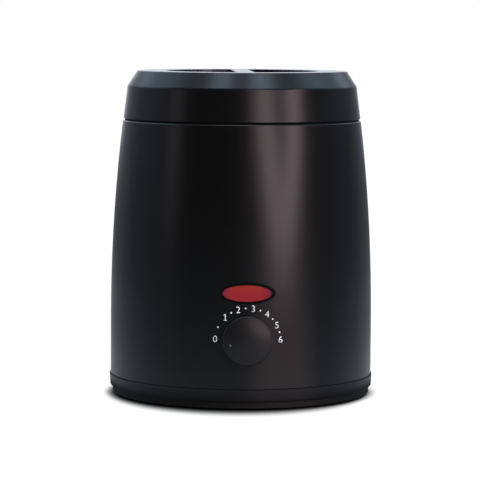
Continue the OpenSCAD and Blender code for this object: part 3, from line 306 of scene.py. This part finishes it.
world = bpy.data.worlds.new("studio")
scene.world = world
world.use_nodes = True
tree = world.node_tree
tree.nodes.clear()
towards = add(tree, "TexCoord").outputs["Generated"]
axes = add(tree, "SeparateXYZ", {0: towards}).outputs
around = math_of(tree, "ARCTAN2", axes["X"], math_of(tree, "MULTIPLY", axes["Y"], -1.0))
above = math_of(tree, "ARCSINE", axes["Z"])
off_front = math_of(tree, "ABSOLUTE", around)
lit = front_colour
for begins, full, colour in room_sides:
    mask = fade(tree, off_front, math.radians(begins), math.radians(full))
    lit = vector_of(tree, "MULTIPLY_ADD", colour, mask, lit)
overhead = fade(tree, axes["Z"], *ceiling_slope)
lit = vector_of(tree, "MULTIPLY_ADD", ceiling_colour, overhead, lit)
for middle, half_width, height, half_height, edge, lean, colour in soft_boxes:
    box = place_group(
        tree,
        soft_box,
        Around=around,
        Above=above,
        Middle=math.radians(middle) + camera_azimuth,
        Half_Width=math.radians(half_width),
        Height=math.radians(height),
        Half_Height=math.radians(half_height),
        Edge=math.radians(edge),
        Lean=lean,
    )
    lit = vector_of(tree, "MULTIPLY_ADD", colour, box["Mask"], lit)
light_path = add(tree, "LightPath").outputs
plain_white = math_of(
    tree, "MAXIMUM", light_path["Is Camera Ray"], light_path["Is Transmission Ray"]
)
room = add(tree, "Background", {"Color": lit})
backdrop = add(tree, "Background", {"Color": grey(1.0)})
surface = add(tree, "MixShader", {0: plain_white, 1: room.outputs[0], 2: backdrop.outputs[0]})
add(tree, "OutputWorld", {"Surface": surface.outputs[0]})

for way_round, height, strength in fills:
    sun = bpy.data.lights.new("fill", "SUN")
    sun.energy = strength
    sun.angle = fill_softness
    lamp = bpy.data.objects.new("fill", sun)
    turn = Matrix.Rotation(math.radians(way_round), 4, "Z")
    lamp.rotation_euler = (turn @ Matrix.Rotation(math.radians(90 - height), 4, "X")).to_euler()
    lamp.visible_glossy = False
    scene.collection.objects.link(lamp)


# Base pan
# The floor moulding that closes the body from below: black plastic with a fine spark-eroded
# skin, with the flange that shows as a rim round the bottom, vent slots and screw bosses.
pan_black = (0.0017, 0.0017, 0.0019, 1.0)
grain_paler = 1.35
seam_edge = 0.35 * MM
seam_roughness = 0.9
plinth_top = 3.5 * MM
plinth_edge = 0.2 * MM
plinth_roughness = 0.6


def new_finish(name, **values):
    """A material with one Principled shader, whose plain values sit on its own sockets."""
    material = bpy.data.materials.new(name)
    material.use_nodes = True
    shader = material.node_tree.nodes["Principled BSDF"]
    for socket, value in values.items():
        shader.inputs[socket.replace("_", " ").title().replace("Ior", "IOR")].default_value = value
    return material, material.node_tree, shader


def feed(tree, shader, socket, value):
    """Links an effect into one of the shader's sockets."""
    tree.links.new(value, shader.inputs[socket])


def between(tree, mask, first, second):
    """A colour that goes from first to second with the mask."""
    mixed = add(tree, "Mix", {0: mask, 6: first, 7: second}, data_type="RGBA")
    return mixed.outputs[2]


def towards_level(tree, mask, value, level):
    """A number that goes from value to a fixed level with the mask."""
    return add(tree, "Mix", {0: mask, 2: value, 3: level}).outputs[0]


def relief(tree, shader, height, depth):
    """Raises the surface by a height that varies from 0 to 1, times depth in metres."""
    bump = add(tree, "Bump", {"Height": height, "Distance": depth, "Strength": 1.0})
    feed(tree, shader, "Normal", bump.outputs[0])


def dress(material, *nodes):
    """Gives CAD nodes a finish."""
    for name in nodes:
        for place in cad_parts[name].material_slots:
            place.material = material


# the texture that spark erosion leaves in a mould: packed soft pits of one size
spark_skin, given = new_group("spark_skin", Pit_Size=0.5)
per_metre = math_of(spark_skin, "DIVIDE", 1000.0, given["Pit_Size"])
place = object_place(spark_skin)
pits = add(
    spark_skin,
    "TexVoronoi",
    {"Vector": place, "Scale": per_metre, "Smoothness": 0.6},
    feature="SMOOTH_F1",
).outputs["Distance"]
crumb = add(
    spark_skin, "TexNoise", {"Vector": place, "Scale": per_metre, "Detail": 2.0, "Roughness": 0.6}
).outputs["Fac"]
height = math_of(spark_skin, "MULTIPLY_ADD", pits, 0.6, crumb)
finish_group(spark_skin, Height=height, Pits=fade(spark_skin, height, 0.5, 1.1))


def roughen(tree, shader, mask, low, high):
    """Lets the roughness go from low to high with a mask."""
    feed(tree, shader, "Roughness", fade(tree, mask, 0.0, 1.0, low, high))


def moulded_black(name, colour, sheen_low, sheen_high, pit_size, pit_depth):
    """Black plastic out of a spark-eroded mould, a little paler where its grain stands up."""
    material, tree, shader = new_finish(name, base_color=colour, roughness=sheen_low)
    skin = place_group(tree, spark_skin, Pit_Size=pit_size)
    paler = tuple(grain_paler * value for value in colour[:3]) + (1.0,)
    feed(tree, shader, "Base Color", between(tree, skin["Pits"], colour, paler))
    roughen(tree, shader, skin["Pits"], sheen_high, sheen_low)
    relief(tree, shader, skin["Height"], pit_depth)
    return material


pan_plastic = moulded_black("pan_plastic", pan_black, 0.29, 0.31, 0.45, 0.006 * MM)
dress(pan_plastic, "gland_nut")

# the flange's upper edge is dulled by the dust in the seam, and the plinth ring by the table's
pan_dusty = pan_plastic.copy()
pan_dusty.name = "pan_dusty"
tree = pan_dusty.node_tree
shader = tree.nodes["Principled BSDF"]
height = add(tree, "SeparateXYZ", {0: object_place(tree)}).outputs["Z"]
seam_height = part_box("body_shell")[0].z
in_seam = fade(tree, height, seam_height - seam_edge, seam_height - 0.6 * seam_edge)
on_plinth = fade(tree, height, plinth_top, plinth_top - plinth_edge)
polished = shader.inputs["Roughness"].links[0].from_socket
dulled = towards_level(tree, in_seam, polished, seam_roughness)
dulled = towards_level(tree, on_plinth, dulled, plinth_roughness)
feed(tree, shader, "Roughness", dulled)
dress(pan_dusty, "base_pan")


# Feet
# Four turned rubber feet, pushed into the pan by their stems. They are dull black and a
# little dusty from the mould.
foot_black = (0.012, 0.012, 0.012, 1.0)
foot_dust = (0.03, 0.03, 0.029, 1.0)

# the uneven sheen of a surface that has been handled and wiped
wiped, given = new_group("wiped", Patch_Size=20.0)
per_metre = math_of(wiped, "DIVIDE", 1000.0, given["Patch_Size"])
cloud = add(
    wiped, "TexNoise", {"Vector": object_place(wiped), "Scale": per_metre, "Detail": 2.0}
).outputs["Fac"]
finish_group(wiped, Cloud=fade(wiped, cloud, 0.3, 0.7))


def cloud_colours(tree, shader, patch_size, first, second):
    """Lets the base colour wander between two colours, in soft patches."""
    cloud = place_group(tree, wiped, Patch_Size=patch_size)["Cloud"]
    feed(tree, shader, "Base Color", between(tree, cloud, first, second))


def rubber(name, colour, bloom, roughness):
    """Dull rubber with a patchy bloom on it."""
    material, tree, shader = new_finish(name, base_color=colour, roughness=roughness)
    cloud_colours(tree, shader, 6.0, colour, bloom)
    skin = place_group(tree, spark_skin, Pit_Size=0.25)
    relief(tree, shader, skin["Height"], 0.008 * MM)
    return material


dress(rubber("foot_rubber", foot_black, foot_dust, 0.75), "feet")


# Metal fittings
# Screws, straps, brackets, tabs and pressings. Screws and the bracket are bright zinc, the
# pressings are stainless steel and the current-carrying pieces are brass.
zinc = (0.62, 0.64, 0.67, 1.0)
zinc_passivated = (0.66, 0.65, 0.58, 1.0)
stainless = (0.52, 0.52, 0.53, 1.0)
stainless_dark = (0.42, 0.42, 0.43, 1.0)
yellow_brass = (0.78, 0.57, 0.27, 1.0)
dull_brass = (0.56, 0.39, 0.18, 1.0)

# the fine parallel scratches of drawn and rolled metal, along one axis of the piece
drawn, given = new_group("drawn", Across=9.0, Along=0.6)
across = given["Across"]
stretch = add(drawn, "CombineXYZ", {0: across, 1: across, 2: given["Along"]}).outputs[0]
stretched = vector_of(drawn, "MULTIPLY", object_place(drawn), stretch)
streaks = add(
    drawn, "TexNoise", {"Vector": stretched, "Scale": 1000.0, "Detail": 2.0}
).outputs["Fac"]
finish_group(drawn, Streaks=fade(drawn, streaks, 0.3, 0.7))


def rolled_metal(name, colour, stained, low, high, across=9.0, along=0.6):
    """Drawn or rolled metal with fine streaks and a faint cloud of tarnish."""
    material, tree, shader = new_finish(name, base_color=colour, roughness=low, metallic=1.0)
    cloud_colours(tree, shader, 7.0, colour, stained)
    marks = place_group(tree, drawn, Across=across, Along=along)["Streaks"]
    roughen(tree, shader, marks, low, high)
    relief(tree, shader, marks, 0.002 * MM)
    return material


zinc_plate = rolled_metal("zinc_plate", zinc, zinc_passivated, 0.24, 0.38, 3.0, 3.0)
steel = rolled_metal("steel", stainless, stainless_dark, 0.26, 0.42)
brass = rolled_metal("brass", yellow_brass, dull_brass, 0.22, 0.4, 4.0, 1.0)
dress(zinc_plate, "base_screws", "clamp_screw", "thermostat_bracket", "thermostat_shaft")
dress(
    steel, "collar_screws", "band_clamp", "thermostat_can", "bracket_screws", "well_clips",
    "lamp_screws", "block_screws", "knob_clip", "bail_ears",
)
dress(brass, "heater_tags", "thermostat_tabs", "thermostat_nut", "terminal_screws")


# Terminal block and lamp holder
# Both are moulded in natural nylon, a warm white. Two screws hold the block to the pan, and the
# holder is screwed to the body behind the pilot light.
nylon = (0.74, 0.72, 0.65, 1.0)
nylon_shade = (0.66, 0.63, 0.55, 1.0)

nylon_white, tree, shader = new_finish("nylon_white", base_color=nylon, roughness=0.42)
cloud_colours(tree, shader, 9.0, nylon, nylon_shade)
skin = place_group(tree, spark_skin, Pit_Size=0.2)
relief(tree, shader, skin["Height"], 0.004 * MM)
dress(nylon_white, "terminal_block", "lamp_holder")


# Neon lamp
# A thin glass bulb with an orange cast from its gas and electrodes. Handling has left faint
# smears on it.
neon_orange = (0.98, 0.72, 0.5, 1.0)

neon_glass, tree, shader = new_finish(
    "neon_glass", base_color=neon_orange, roughness=0.05, transmission_weight=0.85, ior=1.5
)
roughen(tree, shader, place_group(tree, wiped, Patch_Size=2.0)["Cloud"], 0.03, 0.12)
dress(neon_glass, "neon_lamp")


# Thermostat
# The pressed can carries an unglazed ceramic base, and a copper capillary with its bulb
# reaches under the well.
steatite = (0.80, 0.77, 0.68, 1.0)
steatite_stain = (0.70, 0.66, 0.56, 1.0)
bright_copper = (0.80, 0.43, 0.28, 1.0)
brown_copper = (0.55, 0.28, 0.18, 1.0)

ceramic, tree, shader = new_finish("ceramic", base_color=steatite, roughness=0.7)
skin = place_group(tree, spark_skin, Pit_Size=0.35)
feed(tree, shader, "Base Color", between(tree, skin["Pits"], steatite, steatite_stain))
relief(tree, shader, skin["Height"], 0.02 * MM)
dress(ceramic, "thermostat_base")
copper = rolled_metal("copper", bright_copper, brown_copper, 0.25, 0.45)
dress(copper, "capillary_tube", "sensing_bulb")


# Inner wiring
# Two leads have smooth silicone insulation, and the ones near the heater run in woven
# glass-fibre sleeving.
lead_reds = ((0.42, 0.02, 0.02, 1.0), (0.34, 0.016, 0.016, 1.0))
lead_blues = ((0.02, 0.06, 0.36, 1.0), (0.016, 0.05, 0.28, 1.0))
sleeve_whites = ((0.76, 0.74, 0.66, 1.0), (0.55, 0.52, 0.44, 1.0))

# a plain weave of round yarns, for sleeving and for the heater's blanket
weave, given = new_group("weave", Yarn=0.4)
turns = math_of(weave, "DIVIDE", 1000.0 * math.pi, given["Yarn"])
axes = add(weave, "SeparateXYZ", {0: object_place(weave)}).outputs
slanted = math_of(weave, "ADD", axes["X"], axes["Y"])
yarns = []
for way in ("ADD", "SUBTRACT"):
    along = math_of(weave, "MULTIPLY", math_of(weave, way, slanted, axes["Z"]), turns)
    yarns.append(math_of(weave, "ABSOLUTE", math_of(weave, "SINE", along)))
finish_group(weave, Height=fade(weave, math_of(weave, "MAXIMUM", *yarns), 0.3, 1.0))


def insulation(name, colours):
    """Smooth coloured silicone."""
    material, tree, shader = new_finish(name, base_color=colours[0], roughness=0.45)
    cloud_colours(tree, shader, 5.0, *colours)
    return material


def woven(name, colours, yarn, depth):
    """Woven glass fibre, darker between its yarns."""
    material, tree, shader = new_finish(name, base_color=colours[0], roughness=0.85)
    yarns = place_group(tree, weave, Yarn=yarn)["Height"]
    feed(tree, shader, "Base Color", between(tree, yarns, colours[1], colours[0]))
    relief(tree, shader, yarns, depth)
    return material


dress(insulation("lead_red", lead_reds), "lead_live", "lead_lamp_live")
dress(insulation("lead_blue", lead_blues), "lead_neutral", "lead_lamp_neutral")
dress(woven("lead_white", sleeve_whites, 0.5, 0.05 * MM), "lead_switched", "lead_fuse")


# Well and heater
# The pot's well is drawn from aluminium sheet. A bonded mica band heats it under a strap,
# inside a blanket of glass fibre.
drawn_alloys = ((0.72, 0.73, 0.74, 1.0), (0.60, 0.61, 0.62, 1.0))
mica_pale = (0.62, 0.52, 0.38, 1.0)
mica_dark = (0.36, 0.27, 0.17, 1.0)
flakes_per_metre = 260.0
blanket_whites = ((0.80, 0.78, 0.70, 1.0), (0.56, 0.53, 0.44, 1.0))

# the closely spaced rings that spinning and turning leave round the piece's own upright axis
turned, given = new_group("turned", Spacing=0.4)
per_metre = math_of(turned, "DIVIDE", 1000.0, given["Spacing"])
axes = add(turned, "SeparateXYZ", {0: object_place(turned)}).outputs
from_axis = length_of(turned, add(turned, "CombineXYZ", {0: axes["X"], 1: axes["Y"]}).outputs[0])
run = math_of(turned, "MULTIPLY", math_of(turned, "ADD", from_axis, axes["Z"]), per_metre)
rings = add(
    turned,
    "TexNoise",
    {"W": run, "Scale": 1.0, "Detail": 3.0, "Roughness": 0.65},
    noise_dimensions="1D",
).outputs["Fac"]
finish_group(turned, Rings=fade(turned, rings, 0.3, 0.7))


def spun_metal(name, colours, low, high, spacing, depth):
    """Aluminium spun or drawn on a lathe, with fine rings round it."""
    material, tree, shader = new_finish(name, base_color=colours[0], roughness=low, metallic=1.0)
    cloud_colours(tree, shader, 12.0, *colours)
    rings = place_group(tree, turned, Spacing=spacing)["Rings"]
    roughen(tree, shader, rings, low, high)
    relief(tree, shader, rings, depth)
    return material


well_aluminium = spun_metal("well_aluminium", drawn_alloys, 0.36, 0.5, 0.5, 0.004 * MM)
dress(well_aluminium, "heating_well", "thermal_fuse")

mica, tree, shader = new_finish("mica", base_color=mica_pale, roughness=0.35)
flakes = add(
    tree, "TexVoronoi", {"Vector": object_place(tree), "Scale": flakes_per_metre}
).outputs["Color"]
feed(tree, shader, "Base Color", between(tree, flakes, mica_pale, mica_dark))
dress(mica, "heater_band")
dress(woven("glass_fibre", blanket_whites, 1.6, 0.25 * MM), "insulation_sleeve")


# Cord gland
# A soft rubber bushing in the back of the body, for the mains cord to come in by. A plastic nut
# holds it from inside.
gland_black = (0.014, 0.014, 0.014, 1.0)
gland_bloom = (0.026, 0.026, 0.026, 1.0)

dress(rubber("gland_rubber", gland_black, gland_bloom, 0.6), "cord_gland")


# Body
# The tapered body is one moulding, satin black with a visible spark texture. The knob's scale
# is printed on it in white.
case_black = (0.0014, 0.0014, 0.0015, 1.0)
ink_white = (0.86, 0.86, 0.86, 1.0)
ink_thin = (0.74, 0.74, 0.74, 1.0)
scale_ring = 14.9 * MM
print_shift = 0.4 * MM
digit_height = 2.95 * MM
digit_weight = -0.008
digit_smoothness = 6
dot_width = 0.7 * MM
dot_sides = 24
zero_angle = 177
one_angle = 134
last_angle = 1.8
last_number = 6
ink_thickness = 0.03 * MM
ink_root = 0.02 * MM
weld = 0.001 * MM

case_plastic = moulded_black("case_plastic", case_black, 0.23, 0.26, 0.6, 0.007 * MM)
dress(case_plastic, "body_shell")

print_ink, tree, shader = new_finish("print_ink", base_color=ink_white, roughness=0.5)
skin = place_group(tree, spark_skin, Pit_Size=0.3)
feed(tree, shader, "Base Color", between(tree, skin["Pits"], ink_white, ink_thin))

body_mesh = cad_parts["body_shell"].data
body_skin = BVHTree.FromPolygons(
    [v.co for v in body_mesh.vertices], [p.vertices for p in body_mesh.polygons]
)
knob_low, knob_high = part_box("knob")
scale_x = (knob_low.x + knob_high.x) / 2 + print_shift
scale_z = (knob_low.z + knob_high.z) / 2 - print_shift


def mesh_of(name, form):
    """The mesh of a form, which is used up."""
    mesh = bpy.data.meshes.new(name)
    form.to_mesh(mesh)
    form.free()
    return mesh


def as_drawn(piece):
    """A mesh of a piece as it is after its modifiers, or of a text's filled outline."""
    return bpy.data.meshes.new_from_object(
        piece.evaluated_get(bpy.context.evaluated_depsgraph_get())
    )


def on_body_front(x, z):
    """The point of the body's front at x and z, and the way that it faces there."""
    place, facing, _, _ = body_skin.ray_cast(Vector((x, -1, z)), Vector((0, 1, 0)))
    return place, facing


def print_flat(name, flat, x, z, ink_or_shadow, slot):
    """Lays a flat outline, drawn upright round its own middle, on the body's front as a thin film,
    for the print and for the painted shadow round the pilot light.
    """
    form = bmesh.new()
    form.from_mesh(flat)
    bmesh.ops.remove_doubles(form, verts=form.verts, dist=weld)
    raised = bmesh.ops.extrude_face_region(form, geom=form.faces[:])["geom"]
    over = {v for v in raised if isinstance(v, bmesh.types.BMVert)}
    for vertex in form.verts:
        place, facing = on_body_front(x + vertex.co.x, z + vertex.co.y)
        vertex.co = place + facing * (ink_thickness if vertex in over else -ink_root)
    bmesh.ops.recalc_face_normals(form, faces=form.faces[:])
    mesh = mesh_of(name, form)
    mesh.materials.append(ink_or_shadow)
    piece = bpy.data.objects.new(name, mesh)
    scene.collection.objects.link(piece)
    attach(piece, "base")


def digit_outline(number):
    """A number as a flat mesh of its real height, with its middle at the origin."""
    text = bpy.data.curves.new("digit", "FONT")
    text.body = str(number)
    text.offset = digit_weight
    text.resolution_u = digit_smoothness
    holder = bpy.data.objects.new("digit", text)
    scene.collection.objects.link(holder)
    flat = as_drawn(holder)
    bpy.data.objects.remove(holder)
    low = Vector([min(v.co[i] for v in flat.vertices) for i in range(3)])
    high = Vector([max(v.co[i] for v in flat.vertices) for i in range(3)])
    size = digit_height / (high.y - low.y)
    flat.transform(Matrix.Scale(size, 4) @ Matrix.Translation(-(low + high) / 2))
    return flat


def one_outline():
    """A 1 with a flag and a foot, drawn in tenths of its height."""
    outline = [
        (-2.2, -5), (2.4, -5), (2.4, -4.0), (0.8, -4.0), (0.8, 5), (-0.2, 5),
        (-2.2, 3.9), (-2.2, 2.8), (-0.4, 3.6), (-0.4, -4.0), (-2.2, -4.0),
    ]
    form = bmesh.new()
    form.faces.new([form.verts.new((x, y, 0)) for x, y in outline])
    bmesh.ops.scale(form, vec=Vector((1, 1, 1)) * digit_height / 10, verts=form.verts)
    bmesh.ops.triangulate(form, faces=form.faces)
    return mesh_of("one", form)


def dot_outline():
    form = bmesh.new()
    bmesh.ops.create_circle(form, cap_ends=True, radius=dot_width / 2, segments=dot_sides)
    return mesh_of("dot", form)


def scale_place(mark):
    """Where a mark of the scale sits: 0, then evenly from 1 to the last number."""
    if mark < 1:
        angle = zero_angle + (one_angle - zero_angle) * mark
    else:
        angle = one_angle + (last_angle - one_angle) * (mark - 1) / (last_number - 1)
    angle = math.radians(angle)
    return scale_x + math.cos(angle) * scale_ring, scale_z + math.sin(angle) * scale_ring


for number in range(last_number + 1):
    outline = one_outline() if number == 1 else digit_outline(number)
    place = scale_place(number)
    print_flat(f"scale_digit_{number}", outline, *place, print_ink, "nylon_white")
for number in range(last_number):
    place = scale_place(number + 0.5)
    print_flat(f"scale_dot_{number + 1}", dot_outline(), *place, print_ink, "nylon_white")


# Pilot light
# A translucent red window, pressed into its oval opening over the lamp. It is smooth. Its colour
# has painted light and shade in it: lighter and more orange at the top, darker and more violet
# towards the ends, and a painted shadow round its edge. Round the opening lies a painted shadow
# too, a dull black border that is wider at the upper right.
lens_middle = (0.235, 0.0125, 0.0175, 1.0)
lens_lit_top = (0.275, 0.021, 0.0155, 1.0)
lens_shaded_end = (0.155, 0.012, 0.029, 1.0)
lens_rim_shadow = (0.012, 0.001, 0.002, 1.0)
lens_lip = 2.2 * MM
# where the painted light and shade change, as shares of the oval's half height, half width and
# reach
lit_top_fades = (-0.3, 0.9)
shaded_end_fades = (0.55, 0.95)
rim_shadow_fades = (0.91, 0.97)
border_shadow_black = (0.001, 0.001, 0.001, 1.0)
border_gap = 0.48 * MM
border_width = 0.48 * MM
shadow_lean = (0.26 * MM, 0.14 * MM)
border_turns = 96

lens_red, tree, shader = new_finish("lens_red", base_color=lens_middle, roughness=0.22, ior=1.49)
lens_low, lens_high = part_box("indicator_lens")
lens_centre = (lens_low + lens_high) / 2
half_lens = (lens_high - lens_low) / 2 - Vector((lens_lip, 0, lens_lip))
offset = vector_of(tree, "SUBTRACT", object_place(tree), tuple(lens_centre))
shared = vector_of(tree, "MULTIPLY", offset, (1 / half_lens.x, 0, 1 / half_lens.z))
sides = add(tree, "SeparateXYZ", {0: shared}).outputs
outward = length_of(tree, shared)
# painted light and shade: lighter at the top, darker towards the ends and at the rim
colour = between(tree, fade(tree, sides["Z"], *lit_top_fades), lens_middle, lens_lit_top)
to_shaded_ends = fade(tree, math_of(tree, "ABSOLUTE", sides["X"]), *shaded_end_fades)
colour = between(tree, to_shaded_ends, colour, lens_shaded_end)
colour = between(tree, fade(tree, outward, *rim_shadow_fades), colour, lens_rim_shadow)
feed(tree, shader, "Base Color", colour)
dress(lens_red, "indicator_lens")

# painted shadow: a dull black film round the opening, wider at the upper right, where the
# opening's edge throws shade
border_shadow, tree, shader = new_finish(
    "border_shadow", base_color=border_shadow_black, roughness=0.8, specular_ior_level=0.1
)
roughen(tree, shader, place_group(tree, spark_skin, Pit_Size=0.3)["Pits"], 0.85, 0.7)
form = bmesh.new()
loops = []
for width, lean in ((0, (0, 0)), (border_width, shadow_lean)):
    across = half_lens.x + border_gap + width
    up = half_lens.z + border_gap + width
    angles = [2 * math.pi * i / border_turns for i in range(border_turns)]
    loops.append([
        form.verts.new((across * math.cos(a) + lean[0], up * math.sin(a) + lean[1], 0))
        for a in angles
    ])
for i in range(border_turns):
    after = (i + 1) % border_turns
    form.faces.new((loops[0][i], loops[1][i], loops[1][after], loops[0][after]))
border = mesh_of("border", form)
print_flat("lens_border_shadow", border, lens_centre.x, lens_centre.z, border_shadow, "gland_rubber")


# Collar
# A black ring under the lid, screwed to the body. It closes the gap round the well, and the
# lid drops over its spigot.
collar_black = (0.0012, 0.0012, 0.0013, 1.0)
collar_shine = 0.12

collar_plastic = moulded_black("collar_plastic", collar_black, 0.6, 0.7, 0.4, 0.006 * MM)
shader = collar_plastic.node_tree.nodes["Principled BSDF"]
shader.inputs["Specular IOR Level"].default_value = collar_shine
dress(collar_plastic, "top_collar")


# Knob
# A smooth disc knob, moulded with a crowned face and a rounded rim, that pushes onto the shaft
# with its hub. Its pointer is a small dimple, and the slanted grey stroke in it is a painted
# glint.
knob_black = (0.0037, 0.0034, 0.0036, 1.0)
# the colours of the painted highlight in the pointer's dimple
glint_grey = (0.27, 0.27, 0.265, 1.0)
glint_dim = (0.16, 0.16, 0.155, 1.0)
knob_crown = 1.45 * MM
knob_rim = 0.6 * MM
knob_disc = 5 * MM
knob_draft = 0.2 * MM
hub_radius = 5 * MM
bore_radius = 3.1 * MM
bore_floor = 2.0 * MM
knob_turns = 128
face_rings = 12
rim_steps = 8
crisp = math.radians(35)
pointer_angle = math.radians(193.7)
pointer_radius = 7.9 * MM
dimple_radius = 0.75 * MM
dimple_depth = 0.35 * MM
glint_length = 1.6 * MM
glint_width = 0.42 * MM
glint_lean = math.radians(-62)
glint_depth = 0.34 * MM

knob_plastic, tree, shader = new_finish("knob_plastic", base_color=knob_black, roughness=0.35)
skin = place_group(tree, spark_skin, Pit_Size=0.22)
relief(tree, shader, skin["Height"], 0.004 * MM)
roughen(tree, shader, skin["Pits"], 0.36, 0.32)
dress(knob_plastic, "knob")

knob_middle = (knob_low + knob_high) / 2
knob_face = knob_low.y
knob_radius = (knob_high.x - knob_low.x) / 2
face_edge = knob_radius - knob_rim
face_sphere = (face_edge ** 2 + knob_crown ** 2) / (2 * knob_crown)


def face_drop(radius):
    """How far the crowned face lies behind its middle, at a radius."""
    return face_sphere - math.sqrt(face_sphere ** 2 - radius ** 2)


def arc(middle, radius, start, stop, steps):
    """Points on a round corner, from one angle in degrees to another."""
    angles = [math.radians(start + (stop - start) * i / steps) for i in range(steps + 1)]
    return [(middle[0] + radius * math.cos(a), middle[1] - radius * math.sin(a)) for a in angles]


def lathe(outline, turns):
    """A closed form turned from points of radius and depth, round an axis along Y."""
    form = bmesh.new()
    edge = [form.verts.new((radius, depth, 0)) for radius, depth in outline]
    lines = [form.edges.new(pair) for pair in zip(edge, edge[1:])]
    bmesh.ops.spin(
        form, geom=edge + lines, cent=(0, 0, 0), axis=(0, 1, 0), angle=2 * math.pi, steps=turns
    )
    bmesh.ops.remove_doubles(form, verts=form.verts, dist=weld)
    bmesh.ops.recalc_face_normals(form, faces=form.faces)
    return form


def shown(name, form, material):
    """A smooth-shaded object made of a form, whose hard edges stay crisp."""
    mesh = mesh_of(name, form)
    mesh.materials.append(material)
    mesh.shade_smooth()
    mesh.set_sharp_from_angle(angle=crisp)
    piece = bpy.data.objects.new(name, mesh)
    scene.collection.objects.link(piece)
    return piece


rim_middle = (face_edge, face_drop(face_edge) + knob_rim)
face_radii = [face_edge * i / face_rings for i in range(face_rings)]
outline = [(radius, face_drop(radius)) for radius in face_radii]
outline += arc(rim_middle, knob_rim, 90, 0, rim_steps)
outline += [
    (knob_radius - knob_draft, knob_disc),
    (hub_radius, knob_disc),
    (hub_radius, knob_high.y - knob_face),
    (bore_radius, knob_high.y - knob_face),
    (bore_radius, bore_floor),
    (0, bore_floor),
]
knob = shown("turned_knob", lathe(outline, knob_turns), knob_plastic)

ball_radius = (dimple_radius ** 2 + dimple_depth ** 2) / (2 * dimple_depth)
pointer_x = pointer_radius * math.cos(pointer_angle)
pointer_z = pointer_radius * math.sin(pointer_angle)
pointer_drop = face_drop(pointer_radius)
ball = bmesh.new()
bmesh.ops.create_icosphere(ball, subdivisions=4, radius=ball_radius)
bmesh.ops.translate(
    ball, vec=(pointer_x, pointer_drop + dimple_depth - ball_radius, pointer_z), verts=ball.verts
)
cutter = shown("dimple_ball", ball, knob_plastic)
cut = knob.modifiers.new("dimple", "BOOLEAN")
cut.object = cutter
cut.operation = "DIFFERENCE"
cut_mesh = as_drawn(knob)
knob.modifiers.remove(cut)
bpy.data.objects.remove(cutter)
knob.data = cut_mesh
cut_mesh.transform(Matrix.Translation((knob_middle.x, knob_face, knob_middle.z)))
cut_mesh.set_sharp_from_angle(angle=crisp)
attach(knob, "knob")
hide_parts("knob")

# painted highlight: a slanted grey stroke in the pointer's dimple, in place of a glint
pointer_glint, tree, shader = new_finish("pointer_glint", base_color=glint_grey, roughness=0.5)
cloud_colours(tree, shader, 0.8, glint_grey, glint_dim)
drop = bmesh.new()
bmesh.ops.create_icosphere(drop, subdivisions=3, radius=0.5)
bmesh.ops.scale(drop, vec=(glint_length, glint_depth, glint_width), verts=drop.verts)
bmesh.ops.rotate(drop, matrix=Matrix.Rotation(-glint_lean, 3, "Y"), verts=drop.verts)
bmesh.ops.translate(
    drop,
    vec=(
        knob_middle.x + pointer_x,
        knob_face + pointer_drop + dimple_depth,
        knob_middle.z + pointer_z,
    ),
    verts=drop.verts,
)
glint_mark = shown("pointer_glint", drop, pointer_glint)
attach(glint_mark, "knob")


# Pot and bail
# The lift-out pot is spun from aluminium sheet and has steel ears riveted on for a nickelled
# wire handle.
spun_alloys = ((0.80, 0.81, 0.82, 1.0), (0.70, 0.71, 0.72, 1.0))
nickel = (0.72, 0.70, 0.66, 1.0)
nickel_dull = (0.62, 0.60, 0.56, 1.0)

pot_aluminium = spun_metal("pot_aluminium", spun_alloys, 0.2, 0.34, 0.35, 0.003 * MM)
dress(pot_aluminium, "pot", "ear_rivets")
bail_wire = rolled_metal("bail_wire", nickel, nickel_dull, 0.12, 0.22, 2.0, 2.0)
dress(bail_wire, "bail")


# Lid
# A cap moulding with the body's texture. Its top is sunk round a bar to lift it by, and it sits
# loose over the collar.
lid_black = (0.0017, 0.0018, 0.002, 1.0)

lid_plastic = moulded_black("lid_plastic", lid_black, 0.24, 0.27, 0.6, 0.007 * MM)
dress(lid_plastic, "lid")
